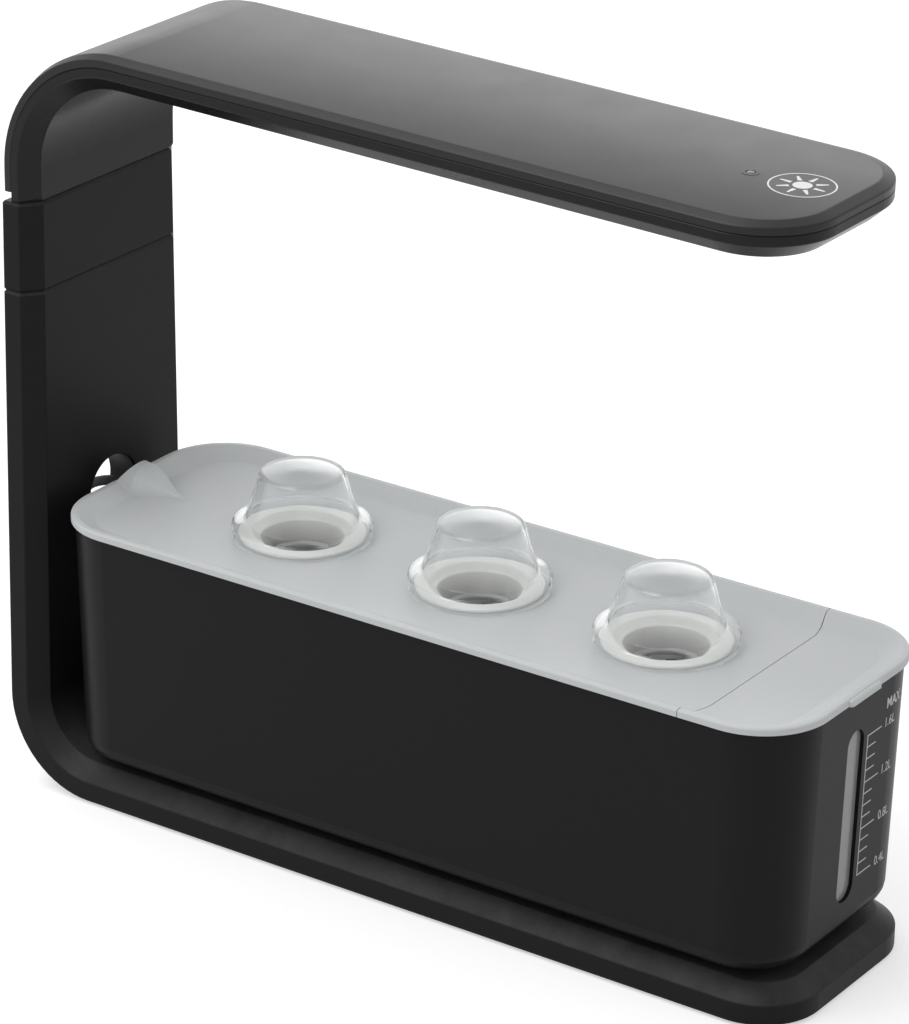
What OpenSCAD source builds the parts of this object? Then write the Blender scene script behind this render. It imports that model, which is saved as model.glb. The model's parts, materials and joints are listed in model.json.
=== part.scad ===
// Countertop hydroponic garden.
// A strip frame bends from a flat base through a column into a lamp arm. A water tank with a
// lid, three planting baskets and three germination domes stands on the base.
// Millimetres. +X runs from the column to the tip of the arm, +Z is up.

/* [Frame] */
// Length of the base, from the column's back to its far end
body_len = 315.4; // [290:0.2:350]
// Width of the frame strip at the base
frame_w = 87.6; // [84:0.2:96]
// Width of the lamp head, to which the column narrows
head_w = 82.8; // [80:0.2:87]
// Thickness of the frame strip
frame_t = 12.5; // [11.5:0.1:14]
// Height of the strip's upright side, measured from its outer face
side_h = 7.3; // [6:0.1:8]
// How far the slope above the side runs inwards
slope_in = 6.6; // [4:0.1:8]
// Outer radius of the bend between base and column
base_bend_r = 33.3; // [28:0.1:36]
// Radius of the base's far corners, in plan
base_corner_r = 22; // [14:0.5:30]
// Height of the lower column's top end
column_h = 182.4; // [170:0.1:200]
// Height of the extension segment
segment_h = 31.7; // [24:0.1:60]
// Radius of the hole that the pump lead passes through
lead_hole_r = 12.75; // [10:0.05:13.5]
// Half the height of the V-shaped groove round a joint of the column
groove_half = 1.0; // [0.4:0.05:1.4]
// Depth of that groove
groove_depth = 0.7; // [0.3:0.05:1.2]

/* [Plug joints] */
// Width of the tenon under each stacked part
tenon_w = 56; // [40:1:62]
// Thickness of the tenon
tenon_t = 5.4; // [4.6:0.1:6]
// Length of the tenon
tenon_len = 12; // [8:0.5:16]
// Distance from the column's back to the middle of the tenon
tenon_mid = 6; // [5.4:0.1:6.4]
// Clearance round the tenon
tenon_clear = 0.15; // [0.1:0.05:0.4]
// Radius of the contact pins
pin_r = 0.9; // [0.6:0.1:1.4]
// Distance between neighbouring contact pins
pin_pitch = 6; // [4:0.5:10]

/* [Lamp head] */
// Rise of the head above the extension segment
head_rise = 58.2; // [52:0.1:70]
// Outer radius of the head's bend
head_bend_r = 46; // [40:0.5:50]
// Distance from the column's back to the tip of the arm
arm_reach = 303; // [275:1:330]
// Slope of the arm, which droops towards its tip
arm_rake = 1.3; // [0:0.1:2]
// Radius of the arm's tip corners, in plan
tip_corner_r = 27; // [20:0.5:34]
// Thickness of the outer cover at its side
cover_t = 4; // [3.4:0.1:4.6]
// How far the cover's top slope runs inwards
cover_slope_in = 4; // [2:0.1:6]
// Drop of the cover's top slope
cover_slope_drop = 1.3; // [0.6:0.1:1.8]
// Wall of the head's two mouldings
head_wall = 2; // [1.6:0.1:2.2]
// Height of the notch under the cover at the foot of the head
notch_h = 3.6; // [2:0.1:5]
// Length of the light window
window_len = 200; // [150:1:215]
// Width of the light window
window_w = 52; // [40:1:56]
// Light diodes along the lamp
led_rows = 12; // [8:1:16]
// Light diodes across the lamp
led_cols = 4; // [2:1:5]
// Distance from the arm's tip to the centre of the touch key
key_back = 20; // [18:0.5:40]
// Distance from the arm's tip to the status light
light_back = 39; // [34:0.5:60]
// Radius of the status light
light_r = 1.6; // [1:0.1:2.4]

/* [Tank] */
// Gap between the column's front and the tank's rim
tank_back_gap = 7.8; // [6:0.1:10]
// Distance from the base's far end back to the tank's rim
tank_front_gap = 2.8; // [0.5:0.1:4]
// Width of the tank at its rim
tank_w = 92.4; // [88:0.1:100]
// Height of the tank
tank_h = 87.4; // [80:0.2:92]
// Height of the foot ring that the tank stands on
tank_foot_h = 3.8; // [1.6:0.1:4.4]
// Draft of the tank's walls, in degrees
tank_draft = 1.6; // [0.5:0.1:2]
// Wall of the tank
tank_wall = 1.8; // [1.5:0.1:2.2]
// Floor of the tank
tank_floor = 2.4; // [2:0.1:3]
// Radius of the tank's upright corners at its rim
tank_corner_r = 23.5; // [18:0.5:26]
// Radius of the tank's bottom edge
tank_edge_r = 7; // [4:0.5:9]
// Width of the level window
level_w = 10.2; // [7:0.1:13]
// Lower end of the level window, above the tank's underside
level_low = 12.6; // [11:0.5:18]
// Upper end of the level window, above the tank's underside
level_high = 74.6; // [66:0.1:78]

/* [Lid] */
// How far the lid's edge stands out past the tank
lid_over = 1.5; // [1.3:0.05:2.2]
// Height of the lid's rim above the tank's rim
lid_rise = 2.1; // [1.8:0.1:2.8]
// Depth of the lid's deck below its rim
deck_drop = 3.6; // [2.6:0.1:4.2]
// Width of the slope between rim and deck
deck_slope = 6.6; // [5:0.1:8]
// Wall of the lid
lid_wall = 1.6; // [1.4:0.1:1.8]
// Length of the bay over the pump, from the lid's end to the first pod's field
pump_bay = 39; // [34:0.5:44]
// Length of the fill door
door_len = 37; // [32:0.5:42]
// Gap round the fill door
door_gap = 0.3; // [0.2:0.05:0.5]
// Half the width of the finger tab
tab_half = 9.5; // [6:0.5:14]
// How far the finger tab stands out
tab_out = 1.3; // [0.8:0.1:2.5]
// Outer radius of the lead's hump
hump_r = 9; // [7:0.1:10]
// Length of the lead's hump
hump_len = 31; // [26:0.5:34]

/* [Pods] */
// Outer radius of a basket's collar
collar_r = 22; // [20:0.1:23]
// Height of the collar above the deck
collar_h = 1.3; // [1:0.1:1.8]
// Radius of the opening in the collar
mouth_r = 14.2; // [12:0.1:15]
// Depth of a basket below the deck
basket_depth = 41; // [34:0.5:48]
// Inner radius at a basket's floor
basket_floor_r = 9.6; // [8:0.1:11]
// Wall of a basket
basket_wall = 1.3; // [1.1:0.1:1.6]
// Slots round a basket
slots = 8; // [6:2:10]
// Width of a slot
slot_w = 4.4; // [3.4:0.1:4.8]
// Radius of a dome's foot ring
dome_foot_r = 24.2; // [23.4:0.1:25]
// Height of a dome's foot ring
dome_foot_h = 4.9; // [3.6:0.1:6]
// Radius of a dome's wall above its shoulder
dome_wall_r = 19.8; // [18:0.1:21]
// Radius of a dome's top
dome_top_r = 14.4; // [12:0.1:16]
// Height of a dome above the deck
dome_h = 24.2; // [20:0.1:30]
// Wall of a dome
dome_wall = 1.0; // [0.9:0.1:1.2]

/* [Pump and lead] */
// Length of the pump
pump_len = 30; // [28:0.5:32]
// Width of the pump
pump_w = 30; // [28:0.5:36]
// Height of the pump
pump_h = 27; // [26:0.5:30]
// Distance from the tank's back wall to the pump
pump_back = 4; // [3:0.5:6]
// Height of the pump's suction feet
pump_foot_h = 3; // [2:0.1:4]
// Radius of the impeller
rotor_r = 9; // [7:0.1:10]
// Diameter of the pump lead
lead_d = 3.6; // [3:0.1:3.8]

/* [Sockets and feet] */
// Height of the pump socket's axis
socket_z = 62; // [58:0.5:64]
// Height of the supply inlet's axis
inlet_z = 44; // [42:0.5:46]
// Radius of the supply inlet's bore
inlet_r = 2.8; // [2.4:0.05:3]
// Radius of the pump socket's bore
socket_r = 1.8; // [1.4:0.05:2]
// Radius of the rubber feet
foot_r = 7; // [5:0.5:9]
// How far the rubber feet stand out
foot_out = 0.8; // [0.5:0.1:2]
// Thickness of the bottom cover
bottom_t = 1.6; // [1.4:0.1:2.2]
// Distance from the base's edge to the bottom cover
bottom_inset = 4; // [3:0.5:6]

/* [Hidden] */
$fn = 96;

// Reach of a cut beyond the face that it opens
cut = 1;
// Clearance of pieces that seat in one another
seat = 0.1;

// Heights and lengths of the frame
segment_z = column_h;
head_z = segment_z + segment_h;
head_bend_z = head_z + head_rise - head_bend_r;
outer_edge_r = 0.7;
slope_edge_r = 0.9;
// Distance in from the edge at which a rim's flat faces are taken over by the middle
rim_in = 5;
strip_rim = rounded_rim(
    [[rim_in, 0], [0, 0], [0, side_h], [slope_in, frame_t], [slope_in + rim_in, frame_t]],
    [0, outer_edge_r, slope_edge_r, slope_edge_r, 0]
);

// Rims of the head: each point is [distance in from the edge, depth below the outer face]
part_bevel = 0.3;
cover_rim = rounded_rim(
    [[cover_slope_in + rim_in, 0], [cover_slope_in, 0], [0, cover_slope_drop],
     [0, cover_t - part_bevel], [part_bevel, cover_t]],
    [0, 3, 0.8, 0, 0]
);
shell_side = side_h - 0.1;
shell_slope_in = slope_in - 1;
shell_rim = rounded_rim(
    [[part_bevel, cover_t], [0, cover_t + part_bevel], [0, shell_side], [shell_slope_in, frame_t],
     [shell_slope_in + rim_in, frame_t]],
    [0, 0, slope_edge_r, slope_edge_r, 0]
);
inner_w = head_w - 2 * head_wall;
lip_t = 1.2;
lip_drop = 1.2;
// Height at which the shell's hollow begins
cavity_z = head_z + notch_h + 3;
shell_floor = frame_t - head_wall;
arm_run = arm_reach - head_bend_r;

// Light window and lamp board, along the arm from the bend's end
window_x0 = 14;
window_x1 = window_x0 + window_len;
window_seat = 2.5;
window_corner_r = 6;
board_t = 1.6;
board_depth = cover_t + 1.4;
board_w = window_w + 2 * window_seat + 12;
board_post_y = window_w / 2 + window_seat + 3.4;
board_post_r = 2.4;
board_pin_r = 1.1;
led_size = 3;
led_h = 1;

// Heights and lengths of the tank
tank_z0 = frame_t + tank_foot_h;
rim_z = frame_t + tank_h + tank_foot_h;
tank_x0 = frame_t + tank_back_gap;
tank_x1 = body_len - tank_front_gap;
draft = tan(tank_draft);
tank_edge_in = tank_h * draft;
tank_outer_rim = rounded_rim(
    [[tank_edge_in + tank_edge_r + rim_in, 0], [tank_edge_in, 0], [0, tank_h]],
    [0, tank_edge_r, 0]
);
tank_inner_rim = rounded_rim(
    [[tank_edge_in + tank_edge_r + rim_in, tank_floor],
     [tank_edge_in + tank_wall - tank_floor * draft, tank_floor], [tank_wall, tank_h],
     [tank_wall, tank_h + cut]],
    [0, tank_edge_r - tank_wall, 0, 0]
);
floor_z = tank_z0 + tank_floor;
foot_ring_in = 13;
foot_ring_w = 3;

// Heights and outline of the lid
lid_x0 = tank_x0 - lid_over;
lid_x1 = tank_x1 + lid_over;
lid_w = tank_w + 2 * lid_over;
lid_corner_r = tank_corner_r + lid_over;
skirt_drop = 0.4;
lid_top = rim_z + lid_rise;
deck_z = lid_top - deck_drop;
crown_w = 2.4;
skirt_w = lid_over - 0.35;
seat_w = lid_over + tank_wall + 0.3;
deck_in = crown_w + deck_slope;
// From the deck's underside out over the seat, round the skirt and back over the crown
lid_rim = rounded_rim(
    [[deck_in + rim_in, deck_z - lid_wall], [deck_in + 0.4, deck_z - lid_wall], [seat_w, rim_z],
     [skirt_w, rim_z], [skirt_w, rim_z - skirt_drop], [0, rim_z - skirt_drop], [0, lid_top],
     [crown_w, lid_top], [deck_in, deck_z], [deck_in + rim_in, deck_z]],
    [0, 0, 0, 0, 0, 0, 0.8, 1.6, 4, 0]
);
rib_in = seat_w + 0.35;
rib_t = 1.2;
rib_drop = 4.2;

// Fill door
door_x = lid_x1 - door_len;
ledge_w = 3.4;
ledge_t = 1.3;

// Pods
pods = 3;
pod_field = door_x - lid_x0 - pump_bay;
pod_pitch = pod_field / pods;
pod_x = [for (i = [0:pods - 1]) lid_x0 + pump_bay + pod_pitch * (i + 0.5)];
neck_r = mouth_r + basket_wall + 0.4;
lid_hole_r = neck_r + 0.4;
basket_z0 = deck_z - basket_depth;
slot_top = deck_z - 6;
slot_bottom = basket_z0 + 7;
dome_seat = 0.1;

// Lead hole, hump and the notch in the tank's rim below it
hole_z = rim_z - 5.7;
hump_x1 = lid_x0 + hump_len;
hump_mouth_x = lid_x0 + 5.6;
hump_steps = 12;
hump_power = 1.4;
lead_notch_r = lead_d / 2 + 1.2;
lead_notch_z = rim_z - 1.4;

// Pump
pump_x0 = tank_x0 + tank_edge_in + tank_wall + pump_back;
pump_x1 = pump_x0 + pump_len;
pump_z0 = floor_z + pump_foot_h;
pump_axis_z = pump_z0 + pump_h / 2;
pump_cover_t = 3;
chamber_r = rotor_r + 1;
chamber_len = 8;
magnet_r = 5;
magnet_len = 12;
shaft_r = 1;
run_clear = 0.05;
rotor_gap = 0.4;
gland_r = 3.2;

// Sockets in the column's back
jack_len = 9.6;
jack_wall = 1.6;
plug_r = 4;
plug_x = -5.4;
plug_low = socket_z - 6;
plug_high = socket_z + 9;
relief_h = 6;

// Lead, from the plug over the tank's rim down to the pump: [x, y, z]
lead_points = [
    [-5.4, 0, 77], [-5.4, 0, 84], [-4, 0, 90.5], [1, 0, 96.8], [8, 0, 100.4],
    [16, 0, 102], [23, 0, 102.4], [31, 0, 100.5], [37, 0, 95.5], [41, 0, 88],
    [42, 0, 79], [41.3, 0, 69], [40, 0, 61.5], [40, 0, 57.5], [40, 0, 53.6]
];
lead_sides = 8;
lead_steps = 3;

// Bottom cover, feet, screws and the board pocket
bottom_sit = 0.2;
foot_back = 44;
foot_front = 40;
foot_side = 19;
foot_x = [foot_back, body_len - foot_front];
foot_y = frame_w / 2 - foot_side;
screw_back = 72;
screw_front = 66;
screw_side = 14;
screw_x = [screw_back, body_len - screw_front];
screw_y = frame_w / 2 - screw_side;
screw_r = 1.3;
screw_head_r = 2.6;
screw_len = 6;
pocket_x0 = 92;
pocket_len = 76;
pocket_w = 44;
pocket_h = 7.4;

// The part's origin lies under the middle of its box
mid_x = (lid_x1 + tab_out) / 2;

/* Shape helpers */

function unit(v) = v / norm(v);

// Points of the arc that rounds corner b, between a and c, with radius r
function corner(a, b, c, r, n = 5) =
    r <= 0 ? [b] :
    let (
        u = unit(a - b),
        v = unit(c - b),
        half = acos(u * v) / 2,
        o = b + unit(u + v) * r / sin(half),
        p = b + u * r / tan(half) - o,
        q = b + v * r / tan(half) - o,
        start = atan2(p.y, p.x),
        turn = (atan2(q.y, q.x) - start + 900) % 360 - 180
    )
    [for (i = [0:n]) o + r * [cos(start + turn * i / n), sin(start + turn * i / n)]];

// A run of points with each inner corner rounded by its radius, to the nearest micron
function rounded_rim(points, radii) = [
    for (i = [0:len(points) - 1])
        each [for (p = i == 0 || i == len(points) - 1
                       ? [points[i]]
                       : corner(points[i - 1], points[i], points[i + 1], radii[i]))
            [round(p.x * 1000) / 1000, round(p.y * 1000) / 1000]]
];

// Closed outline of a strip: x is the depth from the outer face, y the place across
function strip_outline(rim, w) = concat(
    [for (p = rim) [p.y, w / 2 - p.x]],
    [for (i = [len(rim) - 1:-1:0]) [rim[i].y, rim[i].x - w / 2]]
);

// Moves the whole part to its origin, standing on its feet
module placed() {
    translate([-mid_x, 0, foot_out])
        children();
}

// Lays a 2D outline, x across and y up, along +X
module along_x(length) {
    rotate([90, 0, 90])
        linear_extrude(length)
            children();
}

// Lays a 2D outline, x along and y up, across the width
module across(width) {
    rotate([90, 0, 0])
        linear_extrude(width, center = true)
            children();
}

// Flat body between x0 and x1 whose edge follows a rim of [inset, height] points.
// r0 and r1 round its corners in plan; 0 leaves that end square.
module slab(x0, x1, w, r0, r1, rim) {
    low = rim[0].y;
    high = rim[len(rim) - 1].y;
    side = concat([for (p = rim) [w / 2 - p.x, p.y]],
                  [for (i = [len(rim) - 1:-1:0]) [rim[i].x - w / 2, rim[i].y]]);
    translate([x0 + r0, 0, 0])
        along_x(x1 - r1 - x0 - r0)
            polygon(side);
    if (r0 > 0)
        translate([x0, 0, 0])
            mirror([1, 0, 0])
                slab_end(w, r0, rim, low, high);
    if (r1 > 0)
        translate([x1, 0, 0])
            slab_end(w, r1, rim, low, high);
}

// Rounded end of a slab, up to x = 0
module slab_end(w, r, rim, low, high) {
    edge = [for (p = rim) if (p.x < r) [r - p.x, p.y]];
    translate([-r, 0, 0]) {
        if (w > 2 * r)
            across(w - 2 * r)
                polygon(concat([[0, low]], edge, [[0, high]]));
        for (s = [-1, 1])
            translate([0, s * (w / 2 - r), 0])
                rotate([0, 0, s > 0 ? 0 : -90])
                    rotate_extrude(angle = 90)
                        polygon(concat([[0, low]], edge, [[0, high]]));
    }
}

// Upright stretch of the strip, from height z0 to z1
module upright(rim, w, z0, z1) {
    translate([0, 0, z0])
        linear_extrude(z1 - z0)
            polygon(strip_outline(rim, w));
}

// Upright stretch of the strip from height z0 to z1 that narrows from width w0 to w1. Each half
// leans inwards and is cut level at both ends.
module narrowing(rim, w0, w1, z0, z1) {
    lean = atan((w0 - w1) / 2 / (z1 - z0));
    past = 8;
    half = concat([[rim[0].y, -past]], [for (p = rim) [p.y, w0 / 2 - p.x]], [[rim[len(rim) - 1].y, -past]]);
    for (side = [0, 1])
        mirror([0, side, 0])
            intersection() {
                translate([0, w0 / 2, z0])
                    rotate([lean, 0, 0])
                        translate([0, -w0 / 2, -cut])
                            linear_extrude(z1 - z0 + 2 * cut)
                                polygon(half);
                translate([-cut, -2 * past, z0])
                    cube([frame_t + 2 * cut, w0 / 2 + 3 * past, z1 - z0]);
            }
}

// The strip bent round an axis across the frame, from angle a0 through sweep. It stands a hair
// proud of its straight neighbours, which reach into it by bend_lap, so that they share no face.
module bend(rim, w, r, a0, sweep) {
    low = rim[0].y;
    high = rim[len(rim) - 1].y;
    mid = (low + high) / 2;
    deep = 1 + 2 * hair / (high - low);
    wide = 1 + 2 * hair / w;
    rotate([90, 0, 0])
        rotate([0, 0, a0])
            rotate_extrude(angle = sweep)
                polygon([for (p = strip_outline(rim, w)) [r - mid - (p.x - mid) * deep, p.y * wide]]);
}
hair = 0.002;
bend_lap = 0.2;

// Places children in the arm's own axes: x from the bend's end, z down from the outer face
module on_arm() {
    translate([head_bend_r, 0, head_bend_z])
        rotate([0, arm_rake, 0])
            translate([0, 0, head_bend_r])
                mirror([0, 0, 1])
                    children();
}

// Leg, bend and arm of the head, swept with one rim
module head_sweep(rim, w, z0, tip, tip_r) {
    upright(rim, w, z0, head_bend_z + bend_lap);
    translate([head_bend_r, 0, head_bend_z])
        bend(rim, w, head_bend_r, 90 - arm_rake, 90 + arm_rake);
    on_arm()
        slab(-bend_lap, tip, w, 0, tip_r, rim);
}

// Upright slot with round ends through a wall that faces +X, x0 to x1
module stadium(x0, x1, w, z0, z1) {
    r = w / 2;
    translate([x0, 0, 0])
        rotate([90, 0, 90])
            linear_extrude(x1 - x0) {
                translate([0, z0 + r])
                    circle(r);
                translate([0, z1 - r])
                    circle(r);
                translate([-r, z0 + r])
                    square([w, z1 - z0 - w]);
            }
}

/* Frame */

// Tenon under a stacked part whose foot is at height z
module tenon(z) {
    bottom = z - tenon_len;
    translate([tenon_mid - tenon_t / 2, -tenon_w / 2, bottom])
        cube([tenon_t, tenon_w, tenon_len + tenon_root]);
}
tenon_root = 0.2;

// Socket for a tenon, open at height z
module tenon_socket(z) {
    t = tenon_t + 2 * tenon_clear;
    w = tenon_w + 2 * tenon_clear;
    depth = tenon_len + pin_reach;
    translate([tenon_mid - t / 2, -w / 2, z - depth])
        cube([t, w, depth + cut]);
}
pin_reach = 0.6;
pad_t = 0.8;

// Three contacts across the column, each drawn by the child at its own place
module contact_row() {
    for (i = [-1:1])
        translate([tenon_mid, i * pin_pitch, 0])
            children();
}

// Contact pads in the floor of a socket open at height z
module pads(z) {
    contact_row()
        translate([0, 0, z - tenon_len - pin_reach - pad_t])
            cylinder(r = pin_r * 1.8, h = pad_t);
}

// Contact pins under a tenon whose part's foot is at height z
module pins(z) {
    contact_row()
        translate([0, 0, z - tenon_len - pin_reach + contact_clear])
            cylinder(r = pin_r, h = pin_seat + pin_reach - contact_clear);
}
contact_clear = 0.05;
pin_seat = 3;

// Width of the column at height z, which narrows from the base's bend up to the head
function column_w(z) = head_w + (frame_w - head_w) * (head_z - z) / (head_z - base_bend_r);

// V-shaped groove round the column's six faces at height z
module joint_groove(z) {
    y = column_w(z) / 2;
    plan = [[0, -y], [side_h, -y], [frame_t, slope_in - y], [frame_t, y - slope_in], [side_h, y], [0, y]];
    mouth = groove_half * (1 + cut / groove_depth);
    for (i = [0:5])
        let (p = plan[i], run = plan[(i + 1) % 6] - p)
            translate([p.x, p.y, z])
                rotate([0, 0, atan2(run.y, run.x)])
                    translate([-4, 0, 0])
                        rotate([90, 0, 90])
                            linear_extrude(norm(run) + 8)
                                polygon([[-cut, -mouth], [groove_depth, 0], [-cut, mouth]]);
}

module base_frame() {
    color([0.11, 0.11, 0.12])
        placed()
            difference() {
                union() {
                    slab(base_bend_r - bend_lap, body_len, frame_w, 0, base_corner_r, strip_rim);
                    translate([base_bend_r, 0, base_bend_r])
                        bend(strip_rim, frame_w, base_bend_r, 180, 90);
                    narrowing(strip_rim, frame_w, column_w(column_h), base_bend_r - bend_lap, column_h);
                }
                joint_groove(column_h);
                lead_hole();
                tenon_socket(column_h);
                pads(column_h);
                jack_recess(socket_z, socket_r);
                jack_recess(inlet_z, inlet_r);
                bottom_recess();
                screw_holes();
                board_pocket();
            }
}

// Round hole through the column, eased at both faces
module lead_hole() {
    ease = 0.6;
    translate([0, 0, hole_z])
        rotate([0, 90, 0]) {
            translate([0, 0, -cut])
                cylinder(r = lead_hole_r, h = frame_t + 2 * cut);
            translate([0, 0, -ease])
                cylinder(r1 = lead_hole_r + 2 * ease, r2 = lead_hole_r, h = 2 * ease);
            translate([0, 0, frame_t - ease])
                cylinder(r1 = lead_hole_r, r2 = lead_hole_r + 2 * ease, h = 2 * ease);
        }
}

// Recess for a round jack in the column's back
module jack_recess(z, bore) {
    translate([-cut, 0, z])
        rotate([0, 90, 0])
            cylinder(r = bore + jack_wall + seat, h = jack_len + cut);
}

// Shallow recess in the base's underside that takes the bottom cover
module bottom_recess() {
    r = base_corner_r - bottom_inset + seat;
    translate([0, 0, -cut])
        slab(base_bend_r + 2, body_len - bottom_inset + seat, frame_w - 2 * (bottom_inset - seat), 0, r,
             [[0, 0], [0, bottom_t + bottom_sit + cut]]);
}

module at_screws() {
    for (x = screw_x)
        for (s = [-1, 1])
            translate([x, s * screw_y, 0])
                children();
}

module screw_holes() {
    at_screws()
        cylinder(r = screw_r, h = bottom_sit + screw_len + 0.6);
}

// Pocket above the bottom cover that holds the driver board
module board_pocket() {
    translate([pocket_x0, -pocket_w / 2, -cut])
        cube([pocket_len, pocket_w, pocket_h + cut]);
}

module base_cover() {
    r = base_corner_r - bottom_inset;
    color([0.13, 0.13, 0.13])
        placed()
            difference() {
                slab(base_bend_r + 2 + seat, body_len - bottom_inset, frame_w - 2 * bottom_inset, 0, r,
                     [[0.3, bottom_sit], [0, bottom_sit + 0.3], [0, bottom_sit + bottom_t]]);
                at_feet()
                    translate([0, 0, -cut])
                        cylinder(r = foot_r + 0.2, h = cut + bottom_sit + foot_sink);
                at_screws() {
                    translate([0, 0, -cut])
                        cylinder(r = screw_r + 0.2, h = bottom_t + 2 * cut);
                    translate([0, 0, bottom_sit - 0.01])
                        cylinder(r1 = screw_head_r + 0.15, r2 = screw_r + 0.2, h = screw_head_h);
                }
                cover_vents();
            }
}
foot_sink = 0.8;
screw_head_h = 1.3;

// Vent slots under the driver board
module cover_vents() {
    vents = 7;
    vent_w = 1.6;
    for (i = [0:vents - 1])
        translate([pocket_x0 + 14 + i * 8, -11, -cut])
            cube([vent_w, 22, bottom_t + 2 * cut]);
}

module at_feet() {
    for (x = foot_x)
        for (s = [-1, 1])
            translate([x, s * foot_y, 0])
                children();
}

module rubber_feet() {
    top = bottom_sit + foot_sink;
    color([0.2, 0.2, 0.2])
        placed()
            at_feet()
                rotate_extrude()
                    polygon([[0, -foot_out], [foot_r - 0.8, -foot_out], [foot_r - 0.3, -foot_out + 0.2],
                             [foot_r, -foot_out + 0.7], [foot_r, top], [0, top]]);
}

module base_screws() {
    color([0.5, 0.5, 0.52])
        placed()
            at_screws()
                difference() {
                    union() {
                        translate([0, 0, bottom_sit])
                            cylinder(r1 = screw_head_r, r2 = screw_r, h = screw_head_h);
                        translate([0, 0, bottom_sit])
                            cylinder(r = screw_r - 0.05, h = screw_len);
                    }
                    for (a = [0, 90])
                        rotate([0, 0, a])
                            translate([-1.4, -0.3, 0])
                                cube([2.8, 0.6, bottom_sit + 0.8]);
                }
}

module driver_board() {
    z = bottom_sit + bottom_t;
    stand = 1;
    thick = 1.2;
    color([0.1, 0.35, 0.2])
        placed()
            translate([pocket_x0 + 4, -pocket_w / 2 + 3, z]) {
                for (x = [2, pocket_len - 12])
                    for (y = [2, pocket_w - 10])
                        translate([x, y, 0])
                            cube([2, 2, stand]);
                translate([0, 0, stand])
                    cube([pocket_len - 8, pocket_w - 6, thick]);
                for (part = [[8, 6, 12, 9, 2.6], [26, 20, 8, 8, 2.2], [44, 8, 14, 6, 2.4], [50, 24, 5, 5, 1.4]])
                    translate([part[0], part[1], stand + thick])
                        cube([part[2], part[3], part[4]]);
            }
}

// Round jack set in the column's back, its mouth flush with the back
module jack(z, bore, pin, pin_len) {
    translate([0, 0, z])
        rotate([0, 90, 0]) {
            difference() {
                cylinder(r = bore + jack_wall, h = jack_len - seat);
                translate([0, 0, -cut])
                    cylinder(r = bore, h = jack_len - 1.2 + cut);
                translate([0, 0, -0.01])
                    cylinder(r1 = bore + 0.4, r2 = bore, h = 0.4);
            }
            if (pin > 0)
                translate([0, 0, jack_len - 1.4 - pin_len])
                    cylinder(r = pin, h = pin_len + 0.4);
        }
}

module power_inlet() {
    color([0.16, 0.16, 0.16])
        placed()
            jack(inlet_z, inlet_r, inlet_pin_r, 7);
}
inlet_pin_r = 1;

module pump_socket() {
    color([0.16, 0.16, 0.16])
        placed()
            jack(socket_z, socket_r, 0, 0);
}

module column_contacts() {
    color("goldenrod")
        placed()
            pads(column_h);
}

/* Extension segment */

module extension_segment() {
    color([0.11, 0.11, 0.12])
        placed()
            difference() {
                union() {
                    narrowing(strip_rim, column_w(segment_z), head_w, segment_z, head_z);
                    tenon(segment_z);
                }
                for (z = [segment_z, head_z])
                    joint_groove(z);
                tenon_socket(head_z);
                pads(head_z);
                pins(segment_z);
            }
}

module segment_contacts() {
    color("goldenrod")
        placed() {
            pads(head_z);
            pins(segment_z);
        }
}

/* Lamp head */

module head_cover() {
    lip_w = inner_w - 2 * seat;
    color([0.2, 0.2, 0.21])
        placed()
            difference() {
                union() {
                    head_sweep(cover_rim, head_w, head_z + notch_h, arm_run, tip_corner_r);
                    head_sweep([[0, head_wall], [0, cover_t + lip_drop]], lip_w, cavity_z + seat,
                               arm_run - head_wall - seat, tip_corner_r - head_wall - seat);
                }
                head_sweep([[0, head_wall], [0, cover_t + lip_drop + cut]], lip_w - 2 * lip_t,
                           cavity_z + seat + lip_t, arm_run - head_wall - seat - lip_t,
                           tip_corner_r - head_wall - seat - lip_t);
                on_arm()
                    translate([arm_run - light_back, 0, -cut])
                        cylinder(r = light_r + 0.05, h = head_wall + 2 * cut);
            }
}

module head_shell() {
    cavity_rim = [[0, 0], [0, shell_side], [shell_slope_in - 1, shell_floor],
                  [shell_slope_in + rim_in, shell_floor]];
    color([0.12, 0.12, 0.13])
        placed()
            difference() {
                union() {
                    difference() {
                        head_sweep(shell_rim, head_w, head_z, arm_run, tip_corner_r);
                        head_sweep(cavity_rim, inner_w, cavity_z, arm_run - head_wall, tip_corner_r - head_wall);
                    }
                    board_posts();
                    tenon(head_z);
                }
                joint_groove(head_z);
                light_opening();
                pins(head_z);
            }
}

// Opening for the light window in the shell's floor
module light_opening() {
    on_arm()
        slab(window_x0, window_x1, window_w, window_corner_r, window_corner_r,
             [[0, shell_floor - cut], [0, frame_t + cut]]);
}

module diffuser() {
    flange_t = 1.1;
    r = window_corner_r;
    color([0.95, 0.95, 0.92])
        placed()
            on_arm() {
                slab(window_x0 + seat, window_x1 - seat, window_w - 2 * seat, r, r,
                     [[0, shell_floor - flange_t], [0, frame_t - 0.2], [0.2, frame_t]]);
                slab(window_x0 - window_seat, window_x1 + window_seat, window_w + 2 * window_seat, r, r,
                     [[0, shell_floor - flange_t], [0, shell_floor]]);
            }
}

// Places of the posts that carry the lamp board
module at_board_posts() {
    for (x = [window_x0 + 6, (window_x0 + window_x1) / 2, window_x1 - 6])
        for (s = [-1, 1])
            translate([x, s * board_post_y, 0])
                children();
}

module board_posts() {
    top = board_depth + board_t;
    on_arm()
        at_board_posts() {
            translate([0, 0, top])
                cylinder(r = board_post_r, h = shell_floor - top + 0.5);
            translate([0, 0, board_depth - 0.8])
                cylinder(r = board_pin_r, h = board_t + 1);
        }
}

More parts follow.
